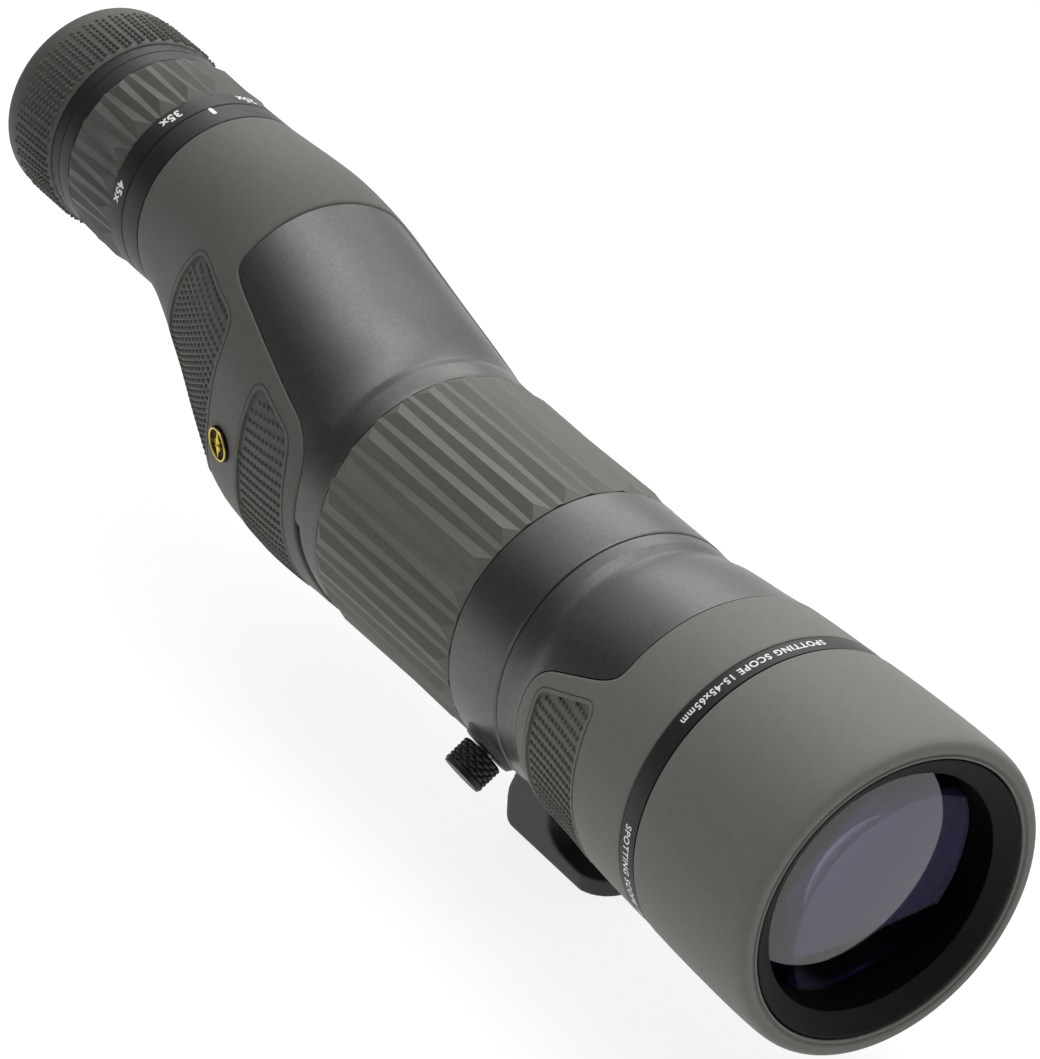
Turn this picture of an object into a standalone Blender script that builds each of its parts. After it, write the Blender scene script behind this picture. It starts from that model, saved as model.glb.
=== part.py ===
"""Straight-bodied zoom spotting scope on a rotating tripod collar.

Frame: metres, +X towards the objective, +Z up, origin on the mounting face of the foot.
All dimensions below are millimetres and are scaled to metres when a mesh is made.
Profiles are closed loops of (x, radius) turned about the objective axis or the eyepiece axis.
"""
import math

import bmesh
import bpy
import numpy as np
from mathutils import Matrix, Vector

MM = 0.001
GAP = 0.3                      # clearance between neighbouring pieces
COARSE = 24                    # facets round a small internal ring
FINE = 36                      # facets round a large or visible ring

# heights of the two optical axes above the mounting face
AXIS_Z = 59.0
EYE_RISE = 33.9
EYE_Z = AXIS_Z + EYE_RISE

# stations along X, front to back
RIM_X = 117.0                  # front of the sunshade
SHADE_REAR_X = 71.4
NAME_REAR_X = 65.2
FRONT_ARMOUR_TOP_X = 42.7
FRONT_ARMOUR_SIDE_X = 13.2
COLLAR_FRONT_X = 3.9
COLLAR_REAR_X = -18.1
FOCUS_REAR_X = -80.6
REAR_ARMOUR_SIDE_X = -90.5
REAR_ARMOUR_TOP_X = -141.7
EYEPIECE_X = -187.1
SCALE_FRONT_X = -195.3
ZOOM_FRONT_X = -202.0
ZOOM_REAR_X = -224.5
CUP_FRONT_X = -234.2
CUP_REAR_X = -258.9

# tubes and walls
CLEAR_APERTURE = 65.0
BARREL_R = 34.5
BARREL_BORE = 32.2
BELL_BORE = 37.0
ARMOUR_THICK = 2.0
HOUSING_WALL = 4.6
EYE_TUBE_R = 20.0
EYE_TUBE_BORE = 17.5
EYE_TUBE_REAR_X = -250.0

# outside of the straight part: station, radius
FRONT_PROFILE = [
    (NAME_REAR_X, 42.6), (50.0, 41.8), (42.0, 41.2), (33.0, 40.2), (18.0, 38.9), (11.5, 37.2),
]

# sections of the offset rear body: station, radius, height of upper centre, height of lower centre
REAR_SECTIONS = [
    (-80.6, 37.6, 0.0, 0.0), (-89.0, 38.0, 0.6, 0.0), (-103.0, 37.9, 5.1, -1.2),
    (-119.0, 37.1, 12.0, -2.6), (-135.0, 35.9, 19.8, -2.4), (-141.5, 35.4, 22.8, -0.4),
    (-149.0, 33.7, 27.1, 3.2), (-157.0, 31.9, 30.6, 8.8), (-165.0, 30.2, 32.8, 16.0),
    (-173.0, 29.1, 33.7, 24.0), (-181.0, 28.5, 33.9, 31.2), (-187.1, 28.2, 33.9, 33.9),
]

# edge of each rubber armour seen from its middle line: angle from the top in degrees, station
FRONT_ARMOUR_EDGE = [
    (0.0, FRONT_ARMOUR_TOP_X), (43.0, FRONT_ARMOUR_TOP_X), (48.5, 38.0), (59.0, 19.5),
    (66.0, 14.6), (75.0, FRONT_ARMOUR_SIDE_X), (180.0, FRONT_ARMOUR_SIDE_X),
]
REAR_ARMOUR_EDGE = [
    (0.0, REAR_ARMOUR_TOP_X), (40.0, REAR_ARMOUR_TOP_X), (46.5, -137.0), (54.5, -99.5),
    (61.0, -92.6), (75.0, -91.0), (92.0, -90.4), (115.0, -85.7), (128.0, -83.5), (180.0, -83.0),
]

# columns of the shaped shells, degrees from the top; they crowd where the armour edges turn
HALF_ANGLES = [
    0.0, 12.0, 24.0, 34.0, 41.0, 46.5, 50.5, 54.5, 61.0, 67.0, 75.0, 85.0, 95.0, 107.0, 120.0,
    132.0, 144.0, 156.0, 168.0, 180.0,
]
SHELL_ANGLES = HALF_ANGLES + [-angle for angle in HALF_ANGLES[-2:0:-1]]

# tripod foot
FOOT_HALF_WIDTH = 16.0
FOOT_FRONT_X = 21.0
FOOT_CORNER = 9.0
BUSH_X = -8.0
BUSH_R = 4.3
BUSH_BORE = 2.6
BUSH_DEPTH = 8.0

# collar lock
LOCK_X = -6.5
LOCK_ANGLE = 123.0             # degrees from the top towards the right-hand side
KNOB_R = 5.5
KNOB_INNER = 39.6
KNOB_OUTER = 46.7

# travel of the moving groups
FOCUS_TURN = 150.0             # degrees either way
FOCUS_TRAVEL = 7.0
FOCUS_CELL_X = -50.0
ZOOM_LOW_TURN = 77.0           # degrees to the lowest power
ZOOM_HIGH_TURN = 70.7          # degrees to the highest power
ZOOM_RATE = 3.0                # millimetres of cell travel per radian
ZOOM_FRONT_CELL_X = -202.0
ZOOM_REAR_CELL_X = -217.4

# Porro prisms
PRISM_PLATE_X = (-128.7, -126.3)
PRISM_HYPOTENUSE = 41.0
PRISM_WIDTH = 18.0
PRISM_SHIFT = 16.95            # sideways and upward step of the folded beam

FOCUS_FACETS = 24
ZOOM_FACETS = 20
SLOT_STEPS = 10                # straight steps along a helical slot


# ---------------------------------------------------------------- scene and materials

def clear_scene():
    for old in list(bpy.data.objects):
        bpy.data.objects.remove(old, do_unlink=True)


def material(name, colour, roughness, metallic=0.0):
    made = bpy.data.materials.new(name)
    made.use_nodes = True
    shader = made.node_tree.nodes["Principled BSDF"]
    shader.inputs["Base Color"].default_value = (*colour, 1.0)
    shader.inputs["Roughness"].default_value = roughness
    shader.inputs["Metallic"].default_value = metallic
    return made


def make_materials():
    return {
        "armour": material("armour_rubber", (0.105, 0.105, 0.092), 0.75),
        "grip": material("grip_rubber", (0.11, 0.11, 0.097), 0.7),
        "body": material("body_metal", (0.085, 0.085, 0.083), 0.42, 0.55),
        "black": material("black_anodised", (0.022, 0.022, 0.023), 0.5, 0.2),
        "matt": material("matt_black", (0.008, 0.008, 0.009), 0.8),
        "glass": material("lens_glass", (0.32, 0.29, 0.40), 0.08),
        "prism": material("prism_glass", (0.72, 0.78, 0.78), 0.05),
        "steel": material("bright_steel", (0.55, 0.55, 0.56), 0.3, 1.0),
        "nylon": material("pale_nylon", (0.62, 0.61, 0.56), 0.55),
        "felt": material("black_felt", (0.015, 0.015, 0.015), 0.95),
        "knob": material("knob_rubber", (0.014, 0.014, 0.015), 0.6),
        "gold": material("gold_badge", (0.60, 0.44, 0.10), 0.35, 0.9),
        "cup": material("eyecup_rubber", (0.10, 0.10, 0.088), 0.78),
    }


# ---------------------------------------------------------------- mesh helpers

def new_object(name, bm, look, origin=(0.0, 0.0, 0.0)):
    """Finish a bmesh given in millimetres; origin is the object's own origin in millimetres."""
    bmesh.ops.recalc_face_normals(bm, faces=bm.faces)
    bmesh.ops.translate(bm, verts=bm.verts, vec=-Vector(origin))
    bmesh.ops.scale(bm, verts=bm.verts, vec=(MM, MM, MM))
    mesh = bpy.data.meshes.new(name)
    bm.to_mesh(mesh)
    bm.free()
    mesh.shade_smooth()
    mesh.set_sharp_from_angle(angle=math.radians(30.0))
    made = bpy.data.objects.new(name, mesh)
    made.location = Vector(origin) * MM
    made.data.materials.append(look)
    bpy.context.collection.objects.link(made)
    return made


def ring_bmesh(columns):
    """Skin equal-length closed columns of points into a ring that closes on itself."""
    bm = bmesh.new()
    rows = [[bm.verts.new(point) for point in column] for column in columns]
    size = len(rows[0])
    for here, there in zip(rows, rows[1:] + rows[:1]):
        for k in range(size):
            n = (k + 1) % size
            bm.faces.new((here[k], here[n], there[n], there[k]))
    bmesh.ops.triangulate(bm, faces=bm.faces, quad_method="SHORT_EDGE")
    return bm


def spun_bmesh(profile, axis_z, segments):
    """Turn a closed loop of (x, radius) about the X direction at height axis_z."""
    bm = bmesh.new()
    loop = [bm.verts.new((x, 0.0, axis_z + radius)) for x, radius in profile]
    edges = [bm.edges.new(pair) for pair in zip(loop, loop[1:] + loop[:1])]
    bmesh.ops.spin(
        bm, geom=loop + edges, cent=(0.0, 0.0, axis_z), axis=(1.0, 0.0, 0.0),
        angle=math.tau, steps=segments, use_merge=True,
    )
    bmesh.ops.remove_doubles(bm, verts=bm.verts, dist=0.001)
    return bm


def turned(name, profile, look, axis_z=AXIS_Z, segments=FINE):
    centre = (profile[0][0], 0.0, axis_z)
    return new_object(name, spun_bmesh(profile, axis_z, segments), look, centre)


def tube(name, rear, front, inner, outer, look, axis_z=AXIS_Z, segments=FINE):
    profile = [(rear, outer), (front, outer), (front, inner), (rear, inner)]
    return turned(name, profile, look, axis_z, segments)


def lens(name, rear_edge, front_edge, radius, rear_bulge, front_bulge, look,
         axis_z=AXIS_Z, segments=COARSE, rings=2):
    """A lens whose faces bulge outward by the given sagittas (negative means hollow)."""
    def face(edge, bulge):
        return [(edge + bulge * (1.0 - (k / rings) ** 2), radius * k / rings)
                for k in range(rings + 1)]
    front = face(front_edge, front_bulge)
    rear = face(rear_edge, -rear_bulge)
    outline = front + rear[::-1]
    bm = bmesh.new()
    axis_points = {}
    columns = []
    for j in range(segments):
        angle = math.tau * j / segments
        column = []
        for k, (x, r) in enumerate(outline):
            if r == 0.0:
                if k not in axis_points:
                    axis_points[k] = bm.verts.new((x, 0.0, axis_z))
                column.append(axis_points[k])
            else:
                column.append(bm.verts.new((x, -r * math.sin(angle), axis_z + r * math.cos(angle))))
        columns.append(column)
    for here, there in zip(columns, columns[1:] + columns[:1]):
        for k in range(len(outline) - 1):
            corners = [here[k], here[k + 1], there[k + 1], there[k]]
            bm.faces.new(list(dict.fromkeys(corners)))
    return new_object(name, bm, look, ((rear_edge + front_edge) / 2.0, 0.0, axis_z))


def radial_frame(x, angle, axis_z=AXIS_Z):
    """Matrix whose +Z runs outward from an axis, at an angle from the top to the right."""
    turn = Matrix.Rotation(math.radians(angle), 4, "X")
    return Matrix.Translation((x, 0.0, axis_z)) @ turn


def radial_solid(name, outline, x, angle, look, axis_z=AXIS_Z, segments=COARSE):
    """Solid of revolution about a radial line; outline lists (radius, distance from the axis)."""
    bm = bmesh.new()
    rows = []
    for radius, height in outline:
        ring = [bm.verts.new((radius * math.cos(math.tau * j / segments),
                              radius * math.sin(math.tau * j / segments), height))
                for j in range(segments)]
        rows.append(ring)
    for low, high in zip(rows, rows[1:]):
        for j in range(segments):
            n = (j + 1) % segments
            bm.faces.new((low[j], low[n], high[n], high[j]))
    bm.faces.new(rows[0])
    bm.faces.new(rows[-1])
    frame = radial_frame(x, angle, axis_z)
    bmesh.ops.transform(bm, matrix=frame, verts=bm.verts)
    foot = frame @ Vector((0.0, 0.0, outline[0][1]))
    return new_object(name, bm, look, foot)


def block_bmesh(x_range, y_range, z_range):
    bm = bmesh.new()
    bmesh.ops.create_cube(bm, size=1.0)
    size = [b - a for a, b in (x_range, y_range, z_range)]
    centre = [(a + b) / 2.0 for a, b in (x_range, y_range, z_range)]
    bmesh.ops.scale(bm, verts=bm.verts, vec=size)
    bmesh.ops.translate(bm, verts=bm.verts, vec=centre)
    return bm


def combine(target, tool, operation):
    """Boolean the hidden tool object into the target."""
    tool.hide_render = True
    tool.display_type = "WIRE"
    step = target.modifiers.new(f"{operation.lower()}_{tool.name}", "BOOLEAN")
    step.operation = operation
    step.solver = "EXACT"
    step.object = tool


def smooth_curve(table, column):
    """Monotone cubic through one column of a table of stations."""
    rows = sorted(table)
    xs = np.array([row[0] for row in rows])
    ys = np.array([row[column] for row in rows])
    step = np.diff(xs)
    slope = np.diff(ys) / step
    tangent = np.zeros(len(xs))
    tangent[0], tangent[-1] = slope[0], slope[-1]
    for k in range(1, len(xs) - 1):
        if slope[k - 1] * slope[k] > 0.0:
            tangent[k] = 2.0 * slope[k - 1] * slope[k] / (slope[k - 1] + slope[k])

    def value(x):
        k = int(np.clip(np.searchsorted(xs, x) - 1, 0, len(step) - 1))
        t = float(np.clip((x - xs[k]) / step[k], 0.0, 1.0))
        return float(
            (1.0 + 2.0 * t) * (1.0 - t) ** 2 * ys[k] + t * (1.0 - t) ** 2 * step[k] * tangent[k]
            + t * t * (3.0 - 2.0 * t) * ys[k + 1] - t * t * (1.0 - t) * step[k] * tangent[k + 1])
    return value


front_radius = smooth_curve(FRONT_PROFILE, 1)
rear_radius = smooth_curve(REAR_SECTIONS, 1)
rear_upper = smooth_curve(REAR_SECTIONS, 2)
rear_lower = smooth_curve(REAR_SECTIONS, 3)


def edge_station(table, angle):
    """Station of an armour edge at an angle from the top, the same on both sides."""
    away = abs((angle + 180.0) % 360.0 - 180.0)
    return float(np.interp(away, [row[0] for row in table], [row[1] for row in table]))


def rear_point(x, angle, inset=0.0):
    """Point on the oval rear body, moved inward by inset."""
    a = math.radians(angle)
    radius = rear_radius(x) - inset
    upper, lower = rear_upper(x), rear_lower(x)
    blend = math.tanh(3.0 * math.cos(a)) / math.tanh(3.0)
    centre = (upper + lower) / 2.0 + (upper - lower) / 2.0 * blend
    return (x, -radius * math.sin(a), AXIS_Z + centre + radius * math.cos(a))


def round_point(x, radius, angle, axis_z=AXIS_Z):
    a = math.radians(angle)
    return (x, -radius * math.sin(a), axis_z + radius * math.cos(a))


def spread(start, stop, count):
    return [start + (stop - start) * k / count for k in range(count + 1)]


def front_armour_stations(angle):
    return spread(edge_station(FRONT_ARMOUR_EDGE, angle), NAME_REAR_X - 0.3, 3)


def rear_armour_stations(angle):
    return spread(edge_station(REAR_ARMOUR_EDGE, angle), EYEPIECE_X + 0.3, 6)


def helical_slot_cutter(name, centre_x, centre_angle, low_turn, high_turn, rate, half_width,
                        radii, look, axis_z):
    """Bar along the path a fixed pin takes through a turning sleeve."""
    margin = math.degrees(half_width / radii[1])
    bm = bmesh.new()
    rows = []
    for turn in spread(-high_turn - margin, low_turn + margin, SLOT_STEPS):
        x = centre_x + rate * math.radians(turn)
        angle = centre_angle - turn
        corners = [(x - half_width, radii[0]), (x + half_width, radii[0]),
                   (x + half_width, radii[1]), (x - half_width, radii[1])]
        rows.append([bm.verts.new(round_point(cx, cr, angle, axis_z)) for cx, cr in corners])
    for here, there in zip(rows, rows[1:]):
        for k in range(4):
            n = (k + 1) % 4
            bm.faces.new((here[k], here[n], there[n], there[k]))
    bm.faces.new(rows[0])
    bm.faces.new(rows[-1])
    return new_object(name, bm, look)


def faceted_grip(name, rear, front, inner, end_radius, valley, ridge, chamfer, facets, look,
                 axis_z, angle_offset):
    """Rubber sleeve with long tapering facets between chamfered ends."""
    columns = []
    for j in range(facets * 2):
        angle = angle_offset + 360.0 * j / (facets * 2)
        crest = ridge if j % 2 else valley
        points = [(rear, end_radius), (rear + chamfer, crest), (front - chamfer, crest),
                  (front, end_radius), (front, inner), (rear, inner)]
        columns.append([round_point(x, r, angle, axis_z) for x, r in points])
    return new_object(name, ring_bmesh(columns), look, (rear, 0.0, axis_z))


# ---------------------------------------------------------------- tripod collar

def make_tripod_collar(looks):
    inner = BARREL_R + 1.4
    rear, front = COLLAR_REAR_X + GAP, COLLAR_FRONT_X - GAP
    profile = [
        (rear, 37.4), ((rear + front) / 2.0, 37.7), (front, 37.4), (front, inner), (rear, inner),
    ]
    collar = turned("tripod_collar", profile, looks["body"])

    side = [
        (-19.6, 0.0), (FOOT_FRONT_X, 0.0), (FOOT_FRONT_X, 5.9), (8.5, 5.9), (3.0, 6.5),
        (-0.6, 8.6), (-2.2, 11.6), (-1.6, 15.4), (0.6, 19.5), (2.2, 26.0), (-16.6, 26.0),
        (-17.2, 19.6), (-21.2, 11.0), (-21.2, 1.4),
    ]
    bm = bmesh.new()
    near = [bm.verts.new((x, -FOOT_HALF_WIDTH, z)) for x, z in side]
    face = bm.faces.new(near)
    far = bmesh.ops.extrude_face_region(bm, geom=[face])
    moved = [item for item in far["geom"] if isinstance(item, bmesh.types.BMVert)]
    bmesh.ops.translate(bm, verts=moved, vec=(0.0, 2.0 * FOOT_HALF_WIDTH, 0.0))
    corners = [edge for edge in bm.edges
               if all(vert.co.x > FOOT_FRONT_X - 0.1 for vert in edge.verts)
               and abs(edge.verts[0].co.y - edge.verts[1].co.y) < 0.1]
    bmesh.ops.bevel(bm, geom=corners, offset=FOOT_CORNER, segments=5, profile=0.5,
                    affect="EDGES", clamp_overlap=True)
    foot = new_object("foot_tool", bm, looks["body"])

    boss_outline = [(8.6, 34.0), (8.6, 36.6), (7.6, 38.0), (7.0, 39.3)]
    boss = radial_solid("boss_tool", boss_outline, LOCK_X, LOCK_ANGLE, looks["body"])
    bore = turned("bore_tool", [(-40.0, inner), (40.0, inner), (40.0, 1.0), (-40.0, 1.0)],
                  looks["body"])
    hole = radial_solid("lock_hole_tool", [(4.3, 30.0), (4.3, 36.7), (2.8, 36.7), (2.8, 42.0)],
                        LOCK_X, LOCK_ANGLE, looks["body"], segments=24)
    bm = bmesh.new()
    bmesh.ops.create_cone(
        bm, cap_ends=True, segments=24, radius1=BUSH_R + GAP, radius2=BUSH_R + GAP,
        depth=2.0 * (BUSH_DEPTH + 1.0), matrix=Matrix.Translation((BUSH_X, 0.0, 0.0)))
    bush_hole = new_object("bush_hole_tool", bm, looks["body"])
    combine(collar, foot, "UNION")
    combine(collar, boss, "UNION")
    combine(collar, bore, "DIFFERENCE")
    combine(collar, hole, "DIFFERENCE")
    combine(collar, bush_hole, "DIFFERENCE")

    bm = bmesh.new()
    loop = [bm.verts.new((BUSH_X + r, 0.0, z)) for r, z in (
        (BUSH_R, 0.2), (BUSH_R, BUSH_DEPTH), (BUSH_BORE, BUSH_DEPTH), (BUSH_BORE, 0.2))]
    edges = [bm.edges.new(pair) for pair in zip(loop, loop[1:] + loop[:1])]
    bmesh.ops.spin(bm, geom=loop + edges, cent=(BUSH_X, 0.0, 0.0), axis=(0.0, 0.0, 1.0),
                   angle=math.tau, steps=24, use_merge=True)
    bmesh.ops.remove_doubles(bm, verts=bm.verts, dist=0.001)
    new_object("foot_thread_bush", bm, looks["steel"], (BUSH_X, 0.0, 0.0))

    liner = tube("collar_liner", rear + 0.4, front - 0.4, BARREL_R + GAP, inner - GAP,
                 looks["nylon"])
    liner_hole = radial_solid("liner_hole_tool", [(4.3, 30.0), (4.3, 40.0)], LOCK_X, LOCK_ANGLE,
                              looks["nylon"], segments=24)
    combine(liner, liner_hole, "DIFFERENCE")


def make_collar_lock(looks):
    radial_solid("brake_shoe", [(4.0, BARREL_R + GAP), (4.0, 36.1)], LOCK_X, LOCK_ANGLE,
                 looks["nylon"], segments=24)
    radial_solid("lock_screw", [(2.5, 36.9), (2.5, KNOB_OUTER - 0.4)], LOCK_X, LOCK_ANGLE,
                 looks["steel"], segments=24)
    knob = radial_solid(
        "lock_knob",
        [(4.9, KNOB_INNER), (KNOB_R, KNOB_INNER + 0.8), (KNOB_R, KNOB_OUTER - 0.4),
         (KNOB_R - 0.3, KNOB_OUTER)],
        LOCK_X, LOCK_ANGLE, looks["knob"])
    knob_hole = radial_solid("knob_hole_tool", [(2.8, 30.0), (2.8, 60.0)], LOCK_X, LOCK_ANGLE,
                             looks["knob"], segments=24)
    combine(knob, knob_hole, "DIFFERENCE")
    radial_solid("lock_knob_cap", [(5.2, 47.0), (5.2, 47.4), (4.8, 47.7)], LOCK_X, LOCK_ANGLE,
                 looks["black"])


# ---------------------------------------------------------------- objective end and barrel

def make_main_barrel(looks):
    rear = -89.5
    columns = []
    for angle in SHELL_ANGLES:
        edge = edge_station(FRONT_ARMOUR_EDGE, angle)
        column = [(rear, BARREL_R), (COLLAR_FRONT_X, BARREL_R), (COLLAR_FRONT_X, 37.3),
                  (8.4, 37.3), (11.5, 36.7)]
        column += [(x, front_radius(x)) for x in spread(11.9, edge - GAP, 2)]
        sunk = ARMOUR_THICK + GAP
        column += [(edge - GAP, front_radius(edge) - sunk)]
        column += [(x, front_radius(x) - sunk) for x in front_armour_stations(angle)[1:]]
        column += [(NAME_REAR_X - 0.3, BELL_BORE), (48.0, BELL_BORE), (47.9, 36.0), (8.0, BARREL_BORE),
                   (rear, BARREL_BORE)]
        columns.append([round_point(x, r, angle) for x, r in column])
    barrel = new_object("main_barrel", ring_bmesh(columns), looks["body"], (rear, 0.0, AXIS_Z))
    slot_half = FOCUS_TRAVEL + 2.4
    slot = new_object(
        "barrel_slot_tool",
        block_bmesh((FOCUS_CELL_X - slot_half, FOCUS_CELL_X + slot_half), (-2.1, 2.1),
                    (AXIS_Z - 38.0, AXIS_Z - 28.0)),
        looks["body"])
    combine(barrel, slot, "DIFFERENCE")
    tube("collar_stop_ring", -22.0, COLLAR_REAR_X - 0.1, BARREL_R + GAP, 35.9, looks["black"])


def make_front_armour(looks):
    columns = []
    for angle in SHELL_ANGLES:
        stations = front_armour_stations(angle)
        outer = [(x, front_radius(x)) for x in stations]
        inner = [(x, front_radius(x) - ARMOUR_THICK) for x in reversed(stations)]
        columns.append([round_point(x, r, angle) for x, r in outer + inner])
    new_object("front_armour", ring_bmesh(columns), looks["armour"], (NAME_REAR_X, 0.0, AXIS_Z))


def make_objective(looks):
    clear = CLEAR_APERTURE / 2.0
    turned("objective_housing", [
        (49.0, 36.7), (NAME_REAR_X - 0.1, 36.7), (NAME_REAR_X - 0.1, 40.2),
        (SHADE_REAR_X - 0.2, 40.2), (SHADE_REAR_X - 0.2, 37.0), (109.2, 37.0), (109.2, 35.3),
        (49.0, 35.3)], looks["black"])
    tube("name_ring", NAME_REAR_X + 0.2, SHADE_REAR_X - 0.4, 40.5, 42.6, looks["black"])
    turned("objective_front_ring", [
        (104.1, clear), (113.3, clear), (115.9, 36.4), (116.6, 38.5), (109.5, 38.5),
        (109.5, 35.0), (104.1, 35.0)], looks["matt"])
    tube("objective_cell", 86.0, 103.8, 33.7, 35.0, looks["matt"])
    lens("objective_front_lens", 99.6, 103.8, 33.4, 3.7, 3.1, looks["glass"], segments=32)
    tube("objective_spacer", 98.1, 99.3, 32.6, 33.4, looks["matt"], segments=COARSE)
    lens("objective_rear_lens", 91.0, 97.8, 33.4, 0.9, -3.7, looks["glass"], segments=32)
    tube("objective_retainer", 87.2, 90.7, 31.8, 33.4, looks["matt"], segments=COARSE)


def make_sunshade(looks):
    tube("sunshade_tube", SHADE_REAR_X + 0.2, 115.0, 38.95, 40.4, looks["black"])
    turned("sunshade_armour", [
        (SHADE_REAR_X + 0.2, 43.0), (87.0, 43.8), (102.0, 44.3), (111.0, 44.2), (115.2, 43.3),
        (RIM_X, 41.4), (RIM_X, 40.2), (115.4, 38.95), (115.4, 40.7), (SHADE_REAR_X + 0.2, 40.7)],
        looks["armour"])
    tube("sunshade_felt_ring", 73.0, 79.0, 37.3, 38.65, looks["felt"])


# ---------------------------------------------------------------- focusing

def make_focusing(looks):
    core = tube("focus_ring_core", FOCUS_REAR_X + 0.4, -22.3, BARREL_R + GAP, 35.9,
                looks["black"])
    slot = helical_slot_cutter(
        "focus_slot_tool", FOCUS_CELL_X, 180.0, FOCUS_TURN, FOCUS_TURN,
        FOCUS_TRAVEL / math.radians(FOCUS_TURN), 2.2, (33.0, 38.0), looks["black"], AXIS_Z)
    combine(core, slot, "DIFFERENCE")
    faceted_grip("focus_grip", FOCUS_REAR_X + 0.3, COLLAR_REAR_X - 0.1, 36.2, 37.4, 37.3, 38.4,
                 4.0, FOCUS_FACETS, looks["grip"], AXIS_Z, 1.4)
    tube("focus_cell", FOCUS_CELL_X - 6.0, FOCUS_CELL_X + 6.0, 27.5, BARREL_BORE - GAP,
         looks["matt"])
    lens("focus_lens", FOCUS_CELL_X - 3.0, FOCUS_CELL_X + 3.0, 27.2, -1.4, -1.4, looks["glass"])
    radial_solid("focus_pin", [(1.8, BARREL_BORE), (1.8, 35.6)], FOCUS_CELL_X, 180.0,
                 looks["steel"], segments=20)


# ---------------------------------------------------------------- prism housing

def make_prism_housing(looks):
    columns = []
    sunk = ARMOUR_THICK + GAP
    front = FOCUS_REAR_X - 0.2
    for angle in SHELL_ANGLES:
        stations = rear_armour_stations(angle)
        edge = stations[0] + GAP
        column = [round_point(front, 34.8, angle), round_point(front, 37.4, angle)]
        column += [rear_point(x, angle) for x in spread(front - 0.6, edge, 3)]
        column += [rear_point(x, angle, sunk) for x in [edge] + stations[1:]]
        column += [round_point(x, EYE_TUBE_R + GAP, angle, EYE_Z)
                   for x in (stations[-1], -179.0)]
        column += [rear_point(x, angle, HOUSING_WALL) for x in spread(-178.6, -92.0, 4)]
        column += [round_point(-90.0, 34.8, angle)]
        columns.append(column)
    new_object("prism_housing", ring_bmesh(columns), looks["body"], (front, 0.0, AXIS_Z))


def make_rear_armour(looks):
    columns = []
    for angle in SHELL_ANGLES:
        stations = rear_armour_stations(angle)
        outer = [rear_point(x, angle) for x in stations]
        inner = [rear_point(x, angle, ARMOUR_THICK) for x in reversed(stations)]
        columns.append(outer + inner)
    new_object("rear_armour", ring_bmesh(columns), looks["armour"], (-186.9, 0.0, EYE_Z))


def make_badge(looks):
    """Round emblem lying on the right-hand side of the rear armour."""
    centre = Vector(rear_point(-130.0, 94.0))
    ahead = Vector(rear_point(-126.0, 94.0)) - Vector(rear_point(-134.0, 94.0))
    above = Vector(rear_point(-130.0, 86.0)) - Vector(rear_point(-130.0, 102.0))
    outward = above.cross(ahead).normalized()
    if outward.y > 0.0:
        outward = -outward
    base = centre + outward * 0.7
    frame = Matrix.Translation(base) @ outward.to_track_quat("Z", "Y").to_matrix().to_4x4()
    bm = bmesh.new()
    bmesh.ops.create_cone(bm, cap_ends=True, segments=COARSE, radius1=5.0, radius2=4.7,
                          depth=0.6, matrix=frame @ Matrix.Translation((0.0, 0.0, 0.3)))
    new_object("badge", bm, looks["gold"], base)


def prism_frame(centre_y, centre_rise, direction, face_x, forward):
    """Local frame: X along the hypotenuse, Y across the prism, Z away from the plate."""
    along = Vector((0.0, 1.0, direction)).normalized()
    away = Vector((1.0 if forward else -1.0, 0.0, 0.0))
    across = away.cross(along)
    frame = Matrix((along, across, away)).transposed().to_4x4()
    frame.translation = Vector((face_x, centre_y, AXIS_Z + centre_rise))
    return frame


def prism_bmesh(outline, half_width, frame):
    bm = bmesh.new()
    near = bm.faces.new([bm.verts.new((u, -half_width, w)) for u, w in outline])
    far = bmesh.ops.extrude_face_region(bm, geom=[near])
    moved = [item for item in far["geom"] if isinstance(item, bmesh.types.BMVert)]
    bmesh.ops.translate(bm, verts=moved, vec=(0.0, 2.0 * half_width, 0.0))
    bmesh.ops.transform(bm, matrix=frame, verts=bm.verts)
    return bm


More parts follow.
